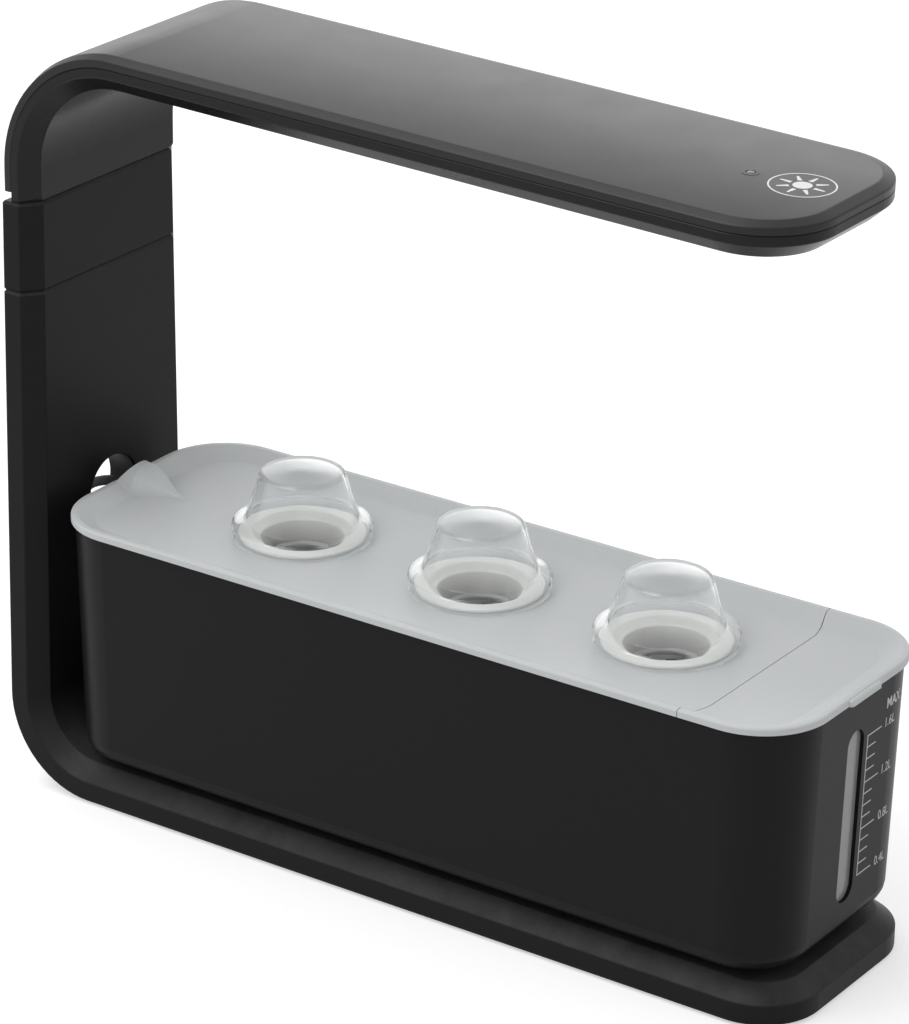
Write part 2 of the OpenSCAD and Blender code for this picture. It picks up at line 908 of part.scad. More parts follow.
module led_board() {
    color([0.93, 0.93, 0.9])
        placed()
            on_arm()
                difference() {
                    slab(window_x0 - 2, window_x1 + 2, board_w, 3, 3,
                         [[0, board_depth], [0, board_depth + board_t]]);
                    at_board_posts()
                        translate([0, 0, board_depth - cut])
                            cylinder(r = board_pin_r + 0.1, h = board_t + 2 * cut);
                }
}

module leds() {
    step_x = (window_len - 20) / (led_rows - 1);
    step_y = (window_w - 12) / (led_cols - 1);
    color([0.98, 0.95, 0.7])
        placed()
            on_arm()
                for (i = [0:led_rows - 1])
                    for (j = [0:led_cols - 1])
                        translate([window_x0 + 10 + i * step_x - led_size / 2,
                                   (j - (led_cols - 1) / 2) * step_y - led_size / 2, board_depth + board_t])
                            cube([led_size, led_size, led_h]);
}

module touch_board() {
    width = 22;
    past_light = 5;
    past_key = 10;
    thick = 1.2;
    color([0.1, 0.35, 0.2])
        placed()
            on_arm()
                difference() {
                    translate([arm_run - light_back - past_light, -width / 2, head_wall])
                        cube([light_back - key_back + past_light + past_key, width, thick]);
                    translate([arm_run - light_back, 0, head_wall - cut])
                        cylinder(r = light_r * 0.6, h = thick + 2 * cut);
                }
}

module indicator_lens() {
    color([0.75, 0.8, 0.85])
        placed()
            on_arm()
                translate([arm_run - light_back, 0, 0])
                    rotate_extrude()
                        polygon([[0, -0.15], [light_r - 0.4, -0.1], [light_r, 0.2], [light_r, head_wall],
                                 [0, head_wall]]);
}

module head_contacts() {
    color("goldenrod")
        placed()
            pins(head_z);
}

/* Tank */

module tank() {
    color([0.1, 0.1, 0.11])
        placed()
            difference() {
                union() {
                    translate([0, 0, tank_z0])
                        slab(tank_x0, tank_x1, tank_w, tank_corner_r, tank_corner_r, tank_outer_rim);
                    foot_ring();
                }
                translate([0, 0, tank_z0])
                    slab(tank_x0, tank_x1, tank_w, tank_corner_r, tank_corner_r, tank_inner_rim);
                on_end_wall()
                    stadium(-tank_wall - cut, cut, level_w, level_low, level_high);
                rim_notch();
            }
}

// Ring that the tank stands on, with an open middle
module foot_ring() {
    r = 12;
    difference() {
        slab(tank_x0 + foot_ring_in, tank_x1 - foot_ring_in, tank_w - 2 * foot_ring_in, r, r,
             [[0.4, frame_t], [0, frame_t + 0.4], [0, tank_z0 + 1]]);
        slab(tank_x0 + foot_ring_in + foot_ring_w, tank_x1 - foot_ring_in - foot_ring_w,
             tank_w - 2 * foot_ring_in - 2 * foot_ring_w, r - foot_ring_w, r - foot_ring_w,
             [[0, frame_t - cut], [0, tank_z0]]);
    }
}

// Places children in the axes of the far end wall: x out of the wall, z up along it
module on_end_wall() {
    translate([tank_x1 - tank_edge_in, 0, tank_z0])
        rotate([0, tank_draft, 0])
            children();
}

// Notch in the rim at the column's end, where the lead goes over
module rim_notch() {
    translate([tank_x0 - cut, 0, lead_notch_z])
        rotate([0, 90, 0])
            cylinder(r = lead_notch_r, h = tank_wall + 2 * cut);
    translate([tank_x0 - cut, -lead_notch_r, lead_notch_z])
        cube([tank_wall + 2 * cut, 2 * lead_notch_r, rim_z - lead_notch_z + cut]);
}

module water_window() {
    flange = 1.6;
    flange_t = 1.2;
    recess = 1.3;
    color([0.75, 0.78, 0.8, 0.6])
        placed()
            on_end_wall() {
                stadium(-tank_wall, -recess, level_w - 2 * seat, level_low + seat, level_high - seat);
                stadium(-tank_wall - flange_t, -tank_wall, level_w + 2 * flange, level_low - flange,
                        level_high + flange);
            }
}

/* Lid and fill door */

// Radius of the hump at distance x from the lid's end
function hump_radius(x) =
    x <= hump_mouth_x ? hump_r + (hump_mouth_x - x) * 0.15 :
    hump_r * pow((1 + cos(180 * (x - hump_mouth_x) / (hump_x1 - hump_mouth_x))) / 2, hump_power);

// Solid of revolution of the hump, drawn in by a wall
module hump_body(wall) {
    x_start = lid_x0 - 2;
    xs = concat([x_start], [for (i = [0:hump_steps]) hump_mouth_x + (hump_x1 - hump_mouth_x) * i / hump_steps]);
    points = [for (x = xs) if (hump_radius(x) - wall > 0.05) [hump_radius(x) - wall, x]];
    translate([0, 0, deck_z])
        rotate([0, 90, 0])
            rotate_extrude()
                polygon(concat([[0, x_start]], points, [[0, points[len(points) - 1].y + 0.2]]));
}

// The part of space behind the hump's slanting mouth, above the tank's rim and inside its wall
module hump_keep() {
    low = deck_z - lid_wall + 0.4;
    high = deck_z + hump_r + 3;
    inside_x = lid_x0 + seat_w + 0.1;
    across(4 * hump_r)
        polygon([[inside_x, low], [inside_x, rim_z + 0.2], [lid_x0 + 0.2, rim_z + 0.2],
                 [hump_mouth_x - 0.4, deck_z + hump_r], [hump_mouth_x + 1.4, high],
                 [hump_x1 + 1, high], [hump_x1 + 1, low]]);
}

// Plan of the door side of the seam, drawn back by a gap
module door_plan(gap) {
    straight = 32;
    sweep_back = 3;
    far = lid_x1 + tab_out + cut;
    linear_extrude(lid_top + cut)
        polygon([[far, -lid_w], [far, lid_w], [door_x - sweep_back + gap, lid_w],
                 [door_x - sweep_back + gap, lid_w / 2 - 3.6], [door_x - 1.4 + gap, straight + 6],
                 [door_x - 0.3 + gap, straight + 2], [door_x + gap, straight],
                 [door_x + gap, -straight], [door_x - 0.3 + gap, -straight - 2],
                 [door_x - 1.4 + gap, -straight - 6], [door_x - sweep_back + gap, 3.6 - lid_w / 2],
                 [door_x - sweep_back + gap, -lid_w]]);
}

// Moulded shape of lid and door together, with the seat on the tank's rim
module lid_blank() {
    difference() {
        union() {
            slab(lid_x0, lid_x1, lid_w, lid_corner_r, lid_corner_r, lid_rim);
            intersection() {
                hump_body(0);
                hump_keep();
            }
            finger_tab();
        }
        hump_body(lid_wall);
    }
}

module finger_tab() {
    tab_r = 1.2;
    translate([lid_x1 - skirt_w, 0, 0])
        slab(0, skirt_w + tab_out, 2 * tab_half, 0, tab_r,
             [[0, rim_z - skirt_drop], [0, lid_top - 0.9], [0.5, lid_top - 0.4]]);
}

// Rib under the lid that locates it inside the tank
module locating_rib() {
    r = lid_corner_r;
    low = rim_z - rib_drop;
    difference() {
        slab(lid_x0 + rib_in, lid_x1 - rib_in, lid_w - 2 * rib_in, r - rib_in, r - rib_in,
             [[0.4, low], [0, low + 0.6], [0, rim_z + 0.2]]);
        slab(lid_x0 + rib_in + rib_t, lid_x1 - rib_in - rib_t, lid_w - 2 * rib_in - 2 * rib_t,
             r - rib_in - rib_t, r - rib_in - rib_t, [[0, low - cut], [0, rim_z + 0.2 + cut]]);
        translate([lid_x0, -hump_r - 1, low - cut])
            cube([rib_in + 4, 2 * hump_r + 2, 3 * rib_drop]);
    }
}

module lid() {
    color([0.74, 0.76, 0.77])
        placed()
            difference() {
                union() {
                    difference() {
                        union() {
                            lid_blank();
                            locating_rib();
                        }
                        door_plan(0);
                    }
                    door_ledge();
                }
                for (x = pod_x)
                    translate([x, 0, basket_z0])
                        cylinder(r = lid_hole_r, h = basket_depth + 10);
            }
}

// Ledge under the seam that carries the door's edge
module door_ledge() {
    top = deck_z - lid_wall;
    half = lid_w / 2 - crown_w - deck_slope - 3;
    translate([door_x - ledge_w, -half, top - ledge_t])
        cube([2 * ledge_w, 2 * half, ledge_t]);
}

module fill_door() {
    color([0.76, 0.78, 0.79])
        placed()
            intersection() {
                union() {
                    lid_blank();
                    locating_rib();
                }
                door_plan(door_gap);
            }
}

/* Pods */

// Outer radius of a basket's cup at height z
function cup_radius(z) = basket_floor_r + basket_wall
    + (neck_r - basket_floor_r - basket_wall) * (z - basket_z0) / basket_depth;

module basket(x) {
    top = deck_z + collar_h;
    ring_z = deck_z - 10;
    floor_t = 1.6;
    outside = rounded_rim(
        [[0, basket_z0], [basket_floor_r + basket_wall, basket_z0], [neck_r, deck_z], [collar_r - 0.2, deck_z],
         [collar_r, deck_z + 0.2], [collar_r, top], [mouth_r + 3, top], [mouth_r, top - 2],
         [cup_radius(ring_z) - basket_wall, ring_z + 1.4], [cup_radius(ring_z) - basket_wall - 0.9, ring_z + 0.6],
         [cup_radius(ring_z) - basket_wall - 0.9, ring_z], [cup_radius(ring_z - 1) - basket_wall, ring_z - 1],
         [basket_floor_r, basket_z0 + floor_t], [0, basket_z0 + floor_t]],
        [0, 1, 0, 0, 0, 0.6, 2.4, 1.2, 0, 0, 0, 0, 0.8, 0]
    );
    color([0.88, 0.88, 0.85])
        placed()
            translate([x, 0, 0])
                difference() {
                    rotate_extrude()
                        polygon(outside);
                    for (i = [0:slots - 1])
                        rotate([0, 0, 360 * (i + 0.5) / slots])
                            translate([basket_floor_r - 2.4, -slot_w / 2, slot_bottom])
                                cube([12, slot_w, ring_z - 2 - slot_bottom]);
                    for (i = [0:slots / 2 - 1])
                        rotate([0, 0, 720 * i / slots])
                            translate([basket_floor_r * 0.55, 0, basket_z0 - cut])
                                cylinder(r = 1.6, h = floor_t + 2 * cut, $fn = 24);
                    translate([0, 0, basket_z0 - cut])
                        cylinder(r = 2, h = floor_t + 2 * cut, $fn = 24);
                }
}

module dome(x) {
    shoulder_z = deck_z + dome_foot_h + 1.2;
    top = deck_z + dome_h;
    low = deck_z + dome_seat;
    w = dome_wall;
    outer = rounded_rim(
        [[dome_foot_r, low], [dome_foot_r, deck_z + dome_foot_h], [dome_wall_r, shoulder_z],
         [dome_top_r, top - 0.9], [0, top]],
        [0, 1.4, 0.8, 2.2, 0]
    );
    inner = rounded_rim(
        [[0, top - w], [dome_top_r - w, top - 0.9 - w], [dome_wall_r - w, shoulder_z - w * 0.6],
         [dome_foot_r - w, deck_z + dome_foot_h - w * 0.7], [dome_foot_r - w, low]],
        [0, 1.6, 0.8, 0.8, 0]
    );
    color([0.9, 0.93, 0.95, 0.35])
        placed()
            translate([x, 0, 0])
                rotate_extrude()
                    polygon(concat(outer, inner));
}

/* Pump */

// Places children at the pump's axis, z along +X from the pump's back
module pump_axis() {
    translate([pump_x0, 0, pump_axis_z])
        rotate([0, 90, 0])
            children();
}

module pump_body() {
    r = 5;
    rotor_back = pump_len - chamber_len - magnet_len - rotor_gap;
    outlet_x = pump_x1 - chamber_len / 2;
    lead_end = lead_points[len(lead_points) - 1];
    pump_top = pump_z0 + pump_h;
    color([0.14, 0.14, 0.15])
        placed()
            difference() {
                union() {
                    slab(pump_x0, pump_x1, pump_w, r, 1, [[1, pump_z0], [0, pump_z0 + 1], [0, pump_top - 1],
                                                         [1, pump_top]]);
                    translate([outlet_x, 0, pump_top - 1])
                        cylinder(r = 4, h = 8);
                    translate([lead_end.x, 0, pump_top - 1])
                        cylinder(r1 = gland_r + 0.8, r2 = gland_r, h = lead_end.z - pump_top + 1);
                }
                pump_axis() {
                    translate([0, 0, pump_len - chamber_len])
                        cylinder(r = chamber_r, h = chamber_len + cut);
                    translate([0, 0, rotor_back])
                        cylinder(r = magnet_r + rotor_gap, h = magnet_len + rotor_gap + cut);
                    translate([0, 0, rotor_back - shaft_set])
                        cylinder(r = shaft_r, h = shaft_set + cut);
                }
                translate([outlet_x, 0, pump_axis_z])
                    cylinder(r = 2.8, h = pump_h);
            }
}
shaft_set = 3;

module pump_shaft() {
    rotor_back = pump_len - chamber_len - magnet_len - rotor_gap;
    color("silver")
        placed()
            pump_axis()
                translate([0, 0, rotor_back - shaft_set])
                    cylinder(r = shaft_r, h = shaft_set + magnet_len + chamber_len + rotor_gap);
}

module pump_rotor() {
    vanes = 4;
    vane_t = 1.4;
    rotor_back = pump_len - chamber_len - magnet_len - rotor_gap;
    vane_len = chamber_len - 3;
    color([0.85, 0.85, 0.85])
        placed()
            pump_axis()
                translate([0, 0, rotor_back + rotor_gap])
                    difference() {
                        union() {
                            cylinder(r = magnet_r, h = magnet_len);
                            translate([0, 0, magnet_len])
                                cylinder(r = 3, h = vane_len);
                            for (i = [0:vanes - 1])
                                rotate([0, 0, 360 * i / vanes])
                                    translate([0, -vane_t / 2, magnet_len])
                                        cube([rotor_r, vane_t, vane_len]);
                        }
                        translate([0, 0, -cut])
                            cylinder(r = shaft_r + run_clear, h = magnet_len + vane_len + 2 * cut);
                    }
}

// Intake cover with a grille of slots
module pump_cover() {
    r = 4;
    ribs = 5;
    pitch = 4.4;
    color([0.14, 0.14, 0.15])
        placed()
            difference() {
                slab(pump_x1, pump_x1 + pump_cover_t, pump_w, 0, 1, [[1, pump_z0], [0, pump_z0 + 1],
                     [0, pump_z0 + pump_h - 1], [1, pump_z0 + pump_h]]);
                for (i = [0:ribs - 1])
                    translate([pump_x1 - cut, -8, pump_axis_z + (i - (ribs - 1) / 2) * pitch - 0.9])
                        cube([pump_cover_t + 2 * cut, 16, 1.8]);
            }
}

module pump_feet() {
    color([0.8, 0.8, 0.78])
        placed()
            for (x = [pump_x0 + 6, pump_x1 - 5])
                for (s = [-1, 1])
                    translate([x, s * (pump_w / 2 - 6), floor_z])
                        rotate_extrude()
                            polygon([[0, 0.8], [3, 0], [3.6, 0], [2.2, pump_foot_h - 0.8], [2.2, pump_foot_h],
                                     [0, pump_foot_h]]);
}

/* Lead and plug */

// Place on the smooth run through points p at position t, counted in points
function smooth(p, t) =
    let (
        n = len(p) - 1,
        i = min(floor(t), n - 1),
        f = t - i,
        a = p[max(i - 1, 0)],
        b = p[i],
        c = p[i + 1],
        d = p[min(i + 2, n)]
    )
    0.5 * (2 * b + (c - a) * f + (2 * a - 5 * b + 4 * c - d) * f * f + (3 * b - a - 3 * c + d) * f * f * f);

// Round tube through a run of points that lies in the XZ plane
module tube(run, r, sides) {
    n = len(run);
    rings = [
        for (i = [0:n - 1])
            let (t = unit(run[min(i + 1, n - 1)] - run[max(i - 1, 0)]), side = [0, 1, 0], up = cross(t, side))
                for (k = [0:sides - 1])
                    run[i] + r * (cos(360 * (k + 0.5) / sides) * side + sin(360 * (k + 0.5) / sides) * up)
    ];
    walls = [
        for (i = [0:n - 2])
            for (k = [0:sides - 1])
                let (a = i * sides + k, b = i * sides + (k + 1) % sides)
                    each [[a, b, a + sides], [b, b + sides, a + sides]]
    ];
    first = [for (k = [sides - 1:-1:0]) k];
    last = [for (k = [0:sides - 1]) (n - 1) * sides + k];
    polyhedron(rings, concat(walls, [first, last]));
}

module pump_lead() {
    steps = (len(lead_points) - 1) * lead_steps;
    run = [for (i = [0:steps]) smooth(lead_points, i / lead_steps)];
    color([0.08, 0.08, 0.08])
        placed()
            tube(run, lead_d / 2, lead_sides);
}

module lead_plug() {
    tip_len = 7;
    color([0.08, 0.08, 0.08])
        placed() {
            translate([plug_x, 0, 0])
                rotate_extrude()
                    polygon([[0, plug_low], [plug_r - 1, plug_low], [plug_r, plug_low + 1], [plug_r, plug_high - 1],
                             [plug_r - 1, plug_high], [lead_d / 2 + 0.9, plug_high],
                             [lead_d / 2 + 0.5, plug_high + relief_h], [0, plug_high + relief_h]]);
            translate([plug_x, 0, socket_z])
                rotate([0, 90, 0])
                    cylinder(r = 3.2, h = -plug_x - 0.2);
            translate([plug_x, 0, socket_z])
                rotate([0, 90, 0])
                    cylinder(r = socket_r - 0.05, h = -plug_x + tip_len);
        }
}

base_frame();
base_cover();
rubber_feet();
base_screws();
driver_board();
power_inlet();
pump_socket();
column_contacts();
pump_lead();
lead_plug();
extension_segment();
segment_contacts();
head_shell();
head_cover();
head_contacts();
led_board();
leds();
diffuser();
touch_board();
indicator_lens();
tank();
water_window();
pump_body();
pump_cover();
pump_rotor();
pump_shaft();
pump_feet();
lid();
fill_door();
basket(pod_x[0]);  // basket_1
basket(pod_x[1]);  // basket_2
basket(pod_x[2]);  // basket_3
dome(pod_x[0]);  // dome_1
dome(pod_x[1]);  // dome_2
dome(pod_x[2]);  // dome_3
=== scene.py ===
"""Dresses the countertop hydroponic garden: finishes, prints, trims, the pump lead and the studio stage."""

import json
import math

import bmesh
import bpy
from mathutils import Matrix, Vector
from mathutils.bvhtree import BVHTree


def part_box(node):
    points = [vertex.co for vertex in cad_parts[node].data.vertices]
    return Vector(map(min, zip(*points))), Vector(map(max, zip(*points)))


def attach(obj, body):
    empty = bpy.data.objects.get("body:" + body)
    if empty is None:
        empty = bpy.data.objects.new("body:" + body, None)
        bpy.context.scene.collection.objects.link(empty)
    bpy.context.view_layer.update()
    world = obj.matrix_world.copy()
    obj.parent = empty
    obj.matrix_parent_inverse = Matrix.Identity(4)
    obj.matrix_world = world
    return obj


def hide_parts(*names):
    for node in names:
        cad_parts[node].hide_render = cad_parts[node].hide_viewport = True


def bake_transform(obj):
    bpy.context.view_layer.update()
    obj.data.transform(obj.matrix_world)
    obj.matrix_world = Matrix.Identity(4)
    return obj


bl_info = {
    "name": "Countertop Garden Dressing",
    "version": (1, 0, 0),
    "blender": (4, 5, 0),
    "location": "3D View > Sidebar > Garden",
    "description": "Finishes, prints, trims, pump lead and stage of a countertop hydroponic garden",
    "category": "Object",
}

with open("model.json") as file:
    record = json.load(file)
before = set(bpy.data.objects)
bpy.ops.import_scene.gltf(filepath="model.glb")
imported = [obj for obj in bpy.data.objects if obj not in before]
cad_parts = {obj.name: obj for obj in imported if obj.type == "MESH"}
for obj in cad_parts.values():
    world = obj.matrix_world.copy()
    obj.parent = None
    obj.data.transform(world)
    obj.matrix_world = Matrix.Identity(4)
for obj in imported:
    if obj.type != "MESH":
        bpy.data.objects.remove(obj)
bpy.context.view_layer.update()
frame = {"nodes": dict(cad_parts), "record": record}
NODES = frame["nodes"]
MM = 0.001

# Directions that the pieces are laid out by
TO_LEFT = Vector((0, 1, 0))
UP = Vector((0, 0, 1))
ALONG = Vector((1, 0, 0))

# Height of printed ink, and how far a print or trim is sunk so that no gap shows under it
INK_RISE = 0.04 * MM
INK_SINK = 0.02 * MM

# Middle line of the pump lead in millimetres, from its plug over the tank's rim down to the pump's
# gland. x counts from the column's back and z from the base's underside, and LEAD_ORIGIN is where
# both are 0.
LEAD_POINTS = [
    (-5.4, 0, 77), (-5.4, 0, 84), (-4, 0, 90.5), (1, 0, 96.8), (8, 0, 100.4),
    (16, 0, 102), (23, 0, 102.4), (31, 0, 100.5), (37, 0, 95.5), (41, 0, 88),
    (42, 0, 79), (41.3, 0, 69), (40, 0, 61.5), (40, 0, 57.5), (40, 0, 53.6),
]
LEAD_ORIGIN = Vector((-157.7 * MM, 0, 0.8 * MM))
LEAD_STEPS = 6

# How far outside a surface the rays start that look for it
FAR_OUT = 0.1
NEAR_OUT = 5 * MM

# The ray that finds the arm's flat top lands this far beside its middle line, clear of the light
BESIDE_LIGHT = 8 * MM

# Sun key: turn of its first ray, number of rays, tip of a ray against its foot, and its glossy pane
SUN_TURN = math.radians(-4)
SUN_RAYS = 8
RAY_TIP_SHARE = 0.4
PANE_EDGE = 0.2 * MM
PANE_RISE = 0.4 * INK_RISE

# Ring round the status light: gap to the light and height
LIGHT_GAP = 0.1 * MM
LIGHT_RING_RISE = 0.08 * MM

# Level scale: litres from the top down, ticks in each step, and the places of the figures and of MAX
LITRES = ("1.6L", "1.2L", "0.8L", "0.4L")
STEP_TICKS = 4
NUMBER_GAP = 2.6 * MM
NUMBER_LIFT = 0.4 * MM
MAX_LIFT = 7.2 * MM
MAX_GROWTH = 1.08
MAX_BOLD = 0.1 * MM

# Plain font: height of a capital against the font's size, and width against the font's own
CAPITAL_SHARE = 0.72
LETTER_SQUEEZE = 0.84

# Rise of the lamp cover's slight crown over its half width, which only its shading shows
CROWN_RISE = 2.0 * MM

# Painted shade of the planting cups: share of the collars' colour that the cups keep, and the stretch below
# the rim in which it changes
CUP_SHADE_SHARE = 0.54
CUP_SHADE_STARTS = 3.0 * MM
CUP_SHADE_FULL = 11.0 * MM

# Stretch below a dome's top in which its frosting comes in
FROST_STARTS = 3.5 * MM
FROST_FULL = 0.4 * MM


# ---------------------------------------------------------------------------------------------
# Sizes and colours that a user would change
# ---------------------------------------------------------------------------------------------


def size_property(name, description, millimetres):
    """A length in metres, given here in millimetres."""
    return bpy.props.FloatProperty(
        name=name,
        description=description,
        default=millimetres * MM,
        min=0.0,
        subtype="DISTANCE",
        unit="LENGTH",
    )


def colour_property(name, description, value):
    """A linear colour, given here without its alpha."""
    return bpy.props.FloatVectorProperty(
        name=name,
        description=description,
        default=(*value, 1.0),
        size=4,
        min=0.0,
        max=1.0,
        subtype="COLOR",
    )


class GardenSizes(bpy.types.PropertyGroup):
    """Sizes of the printed marks, the trims and the lead."""

    key_back: size_property("Key from tip", "From the arm's tip to the centre of the sun key", 20.6)
    key_radius: size_property("Key ring", "Outer radius of the ring round the sun key", 10.8)
    key_line: size_property("Key line", "Width of the ring's line", 0.55)
    sun_radius: size_property("Sun disc", "Radius of the sun's disc", 3.1)
    ray_start: size_property("Ray start", "Radius at which the sun's rays begin", 4.3)
    ray_end: size_property("Ray end", "Radius at which the sun's rays end", 8.2)
    ray_width: size_property("Ray width", "Width of a ray at its foot", 1.6)
    light_ring: size_property("Light ring", "Radius of the ring round the status light", 2.8)
    scale_left: size_property("Scale offset", "From the window's middle to the scale's upright line", 7.6)
    scale_line: size_property("Scale line", "Width of the level scale's lines", 0.42)
    tick_long: size_property("Long tick", "Length of a tick with a number", 8.7)
    tick_short: size_property("Short tick", "Length of a tick without a number", 5.4)
    tick_top: size_property("Top tick", "Height of the 1.6 litre tick above the tank's foot", 73.4)
    tick_pitch: size_property("Tick pitch", "Height between two ticks with numbers", 16.83)
    number_height: size_property("Number height", "Height of the level scale's figures", 3.4)
    lead_width: size_property("Lead", "Diameter of the pump lead", 3.6)


class GardenColours(bpy.types.PropertyGroup):
    """Colours of the garden's plastics and prints."""

    frame: colour_property("Frame", "Plastic of the base and column", (0.0080, 0.0080, 0.0083))
    cover: colour_property("Lamp cover", "Plastic of the lamp's outer cover", (0.0100, 0.0096, 0.0094))
    tank: colour_property("Tank", "Plastic of the water tank", (0.0082, 0.0082, 0.0084))
    lid: colour_property("Lid", "Plastic of the lid and fill door", (0.575, 0.594, 0.604))
    basket: colour_property("Baskets", "Plastic of the planting baskets", (0.66, 0.66, 0.645))
    dome: colour_property("Domes", "Tint of the clear domes", (0.97, 0.98, 0.98))
    window: colour_property("Level window", "Tint of the level window", (0.36, 0.365, 0.365))
    print: colour_property("Sun key print", "Ink of the ring and the sun", (0.70, 0.70, 0.70))
    scale: colour_property("Level scale print", "Ink of the level scale", (0.58, 0.58, 0.58))
    pane: colour_property("Key pane", "Glossy pane under the sun key", (0.008, 0.008, 0.008))
    rubber: colour_property("Rubber", "Feet and pump lead", (0.012, 0.012, 0.012))
    diffuser: colour_property("Light window", "Frosted plastic under the lamp", (0.86, 0.86, 0.83))
    board: colour_property("Boards", "Lacquer of the circuit boards", (0.012, 0.10, 0.045))
    brass: colour_property("Contacts", "Gilding of the contacts", (0.80, 0.56, 0.20))
    steel: colour_property("Steel", "Screws and the pump's shaft", (0.55, 0.55, 0.56))
    backdrop: colour_property("Backdrop", "Floor of the stage", (0.62, 0.62, 0.62))


def sizes():
    """The sizes in the panel."""
    return bpy.context.scene.garden_sizes


def colours():
    """The colours in the panel."""
    return bpy.context.scene.garden_colours


# ---------------------------------------------------------------------------------------------
# Node groups that several finishes share
# ---------------------------------------------------------------------------------------------


def new_group(name, inputs, outputs):
    """An empty shader group with named sockets: its tree, input node and output node."""
    tree = bpy.data.node_groups.new(name, "ShaderNodeTree")
    for socket, kind, default in inputs:
        made = tree.interface.new_socket(name=socket, in_out="INPUT", socket_type=kind)
        made.default_value = default
    for socket, kind in outputs:
        tree.interface.new_socket(name=socket, in_out="OUTPUT", socket_type=kind)
    return tree, tree.nodes.new("NodeGroupInput"), tree.nodes.new("NodeGroupOutput")


def feed(tree, socket, value):
    """Links an input to another node's output, or gives it a plain value."""
    if isinstance(value, bpy.types.NodeSocket):
        tree.links.new(value, socket)
    else:
        socket.default_value = value


def math_node(tree, operation, first, second, clamp=False):
    """A math node with numbers or sockets for its two inputs; returns its output."""
    node = tree.nodes.new("ShaderNodeMath")
    node.operation = operation
    node.use_clamp = clamp
    feed(tree, node.inputs[0], first)
    feed(tree, node.inputs[1], second)
    return node.outputs[0]


def noise_node(tree, vector, scale, detail, roughness):
    """A noise texture on a vector socket, with a number or socket for its scale; returns its factor."""
    node = tree.nodes.new("ShaderNodeTexNoise")
    tree.links.new(vector, node.inputs["Vector"])
    feed(tree, node.inputs["Scale"], scale)
    node.inputs["Detail"].default_value = detail
    node.inputs["Roughness"].default_value = roughness
    return node.outputs["Fac"]


def object_place(tree):
    """The place on the piece in its own axes, as a vector socket."""
    return tree.nodes.new("ShaderNodeTexCoord").outputs["Object"]


def axis_of(tree, vector, axis):
    """One coordinate of a vector socket."""
    parts = tree.nodes.new("ShaderNodeSeparateXYZ")
    tree.links.new(vector, parts.inputs[0])
    return parts.outputs[axis]


def scaled_colour(tree, colour, factor):
    """A colour socket times a number socket."""
    node = tree.nodes.new("ShaderNodeVectorMath")
    node.operation = "SCALE"
    tree.links.new(colour, node.inputs[0])
    tree.links.new(factor, node.inputs["Scale"])
    return node.outputs["Vector"]


# Numbers of a mix node's colour sockets: its two inputs and its output
MIX_FIRST = 6
MIX_SECOND = 7
MIX_RESULT = 2


def mixed_colour(tree, factor, first, second):
    """A blend from the first colour to the second, which is a socket or a plain colour."""
    node = tree.nodes.new("ShaderNodeMix")
    node.data_type = "RGBA"
    tree.links.new(factor, node.inputs["Factor"])
    tree.links.new(first, node.inputs[MIX_FIRST])
    feed(tree, node.inputs[MIX_SECOND], second)
    return node.outputs[MIX_RESULT]


def moulded_skin_group():
    """Skin of a moulded plastic: slow drift of tone and gloss, and the fine grain of the mould."""
    tree, start, end = new_group(
        "Moulded Skin",
        [
            ("Colour", "NodeSocketColor", (0.5, 0.5, 0.5, 1)),
            ("Tone Spread", "NodeSocketFloat", 0.06),
            ("Roughness", "NodeSocketFloat", 0.4),
            ("Roughness Spread", "NodeSocketFloat", 0.05),
            ("Grain Size", "NodeSocketFloat", 2200.0),
            ("Drift Size", "NodeSocketFloat", 14.0),
        ],
        [("Colour", "NodeSocketColor"), ("Roughness", "NodeSocketFloat"), ("Height", "NodeSocketFloat")],
    )
    place = object_place(tree)
    drift = noise_node(tree, place, start.outputs["Drift Size"], detail=3.0, roughness=0.55)
    smudge_size = math_node(tree, "MULTIPLY", start.outputs["Drift Size"], 3.7)
    smudge = noise_node(tree, place, smudge_size, detail=4.0, roughness=0.6)
    grain = noise_node(tree, place, start.outputs["Grain Size"], detail=1.5, roughness=0.6)
    pits = tree.nodes.new("ShaderNodeTexVoronoi")
    tree.links.new(place, pits.inputs["Vector"])
    tree.links.new(math_node(tree, "MULTIPLY", start.outputs["Grain Size"], 0.55), pits.inputs["Scale"])
    slow = math_node(tree, "SUBTRACT", drift, 0.5)
    speckle = math_node(tree, "MULTIPLY", math_node(tree, "SUBTRACT", grain, 0.5), 0.5)
    both = math_node(tree, "ADD", slow, speckle)
    lift = math_node(tree, "MULTIPLY", both, start.outputs["Tone Spread"])
    tone = math_node(tree, "ADD", math_node(tree, "MULTIPLY", lift, 2.0), 1.0)
    tree.links.new(scaled_colour(tree, start.outputs["Colour"], tone), end.inputs["Colour"])
    wiped = math_node(tree, "SUBTRACT", smudge, 0.5)
    gloss = math_node(tree, "MULTIPLY", wiped, start.outputs["Roughness Spread"])
    change = math_node(tree, "MULTIPLY", gloss, 2.0)
    rough = math_node(tree, "ADD", start.outputs["Roughness"], change, clamp=True)
    tree.links.new(rough, end.inputs["Roughness"])
    height = math_node(tree, "ADD", grain, math_node(tree, "MULTIPLY", pits.outputs["Distance"], 0.6))
    tree.links.new(height, end.inputs["Height"])
    return tree


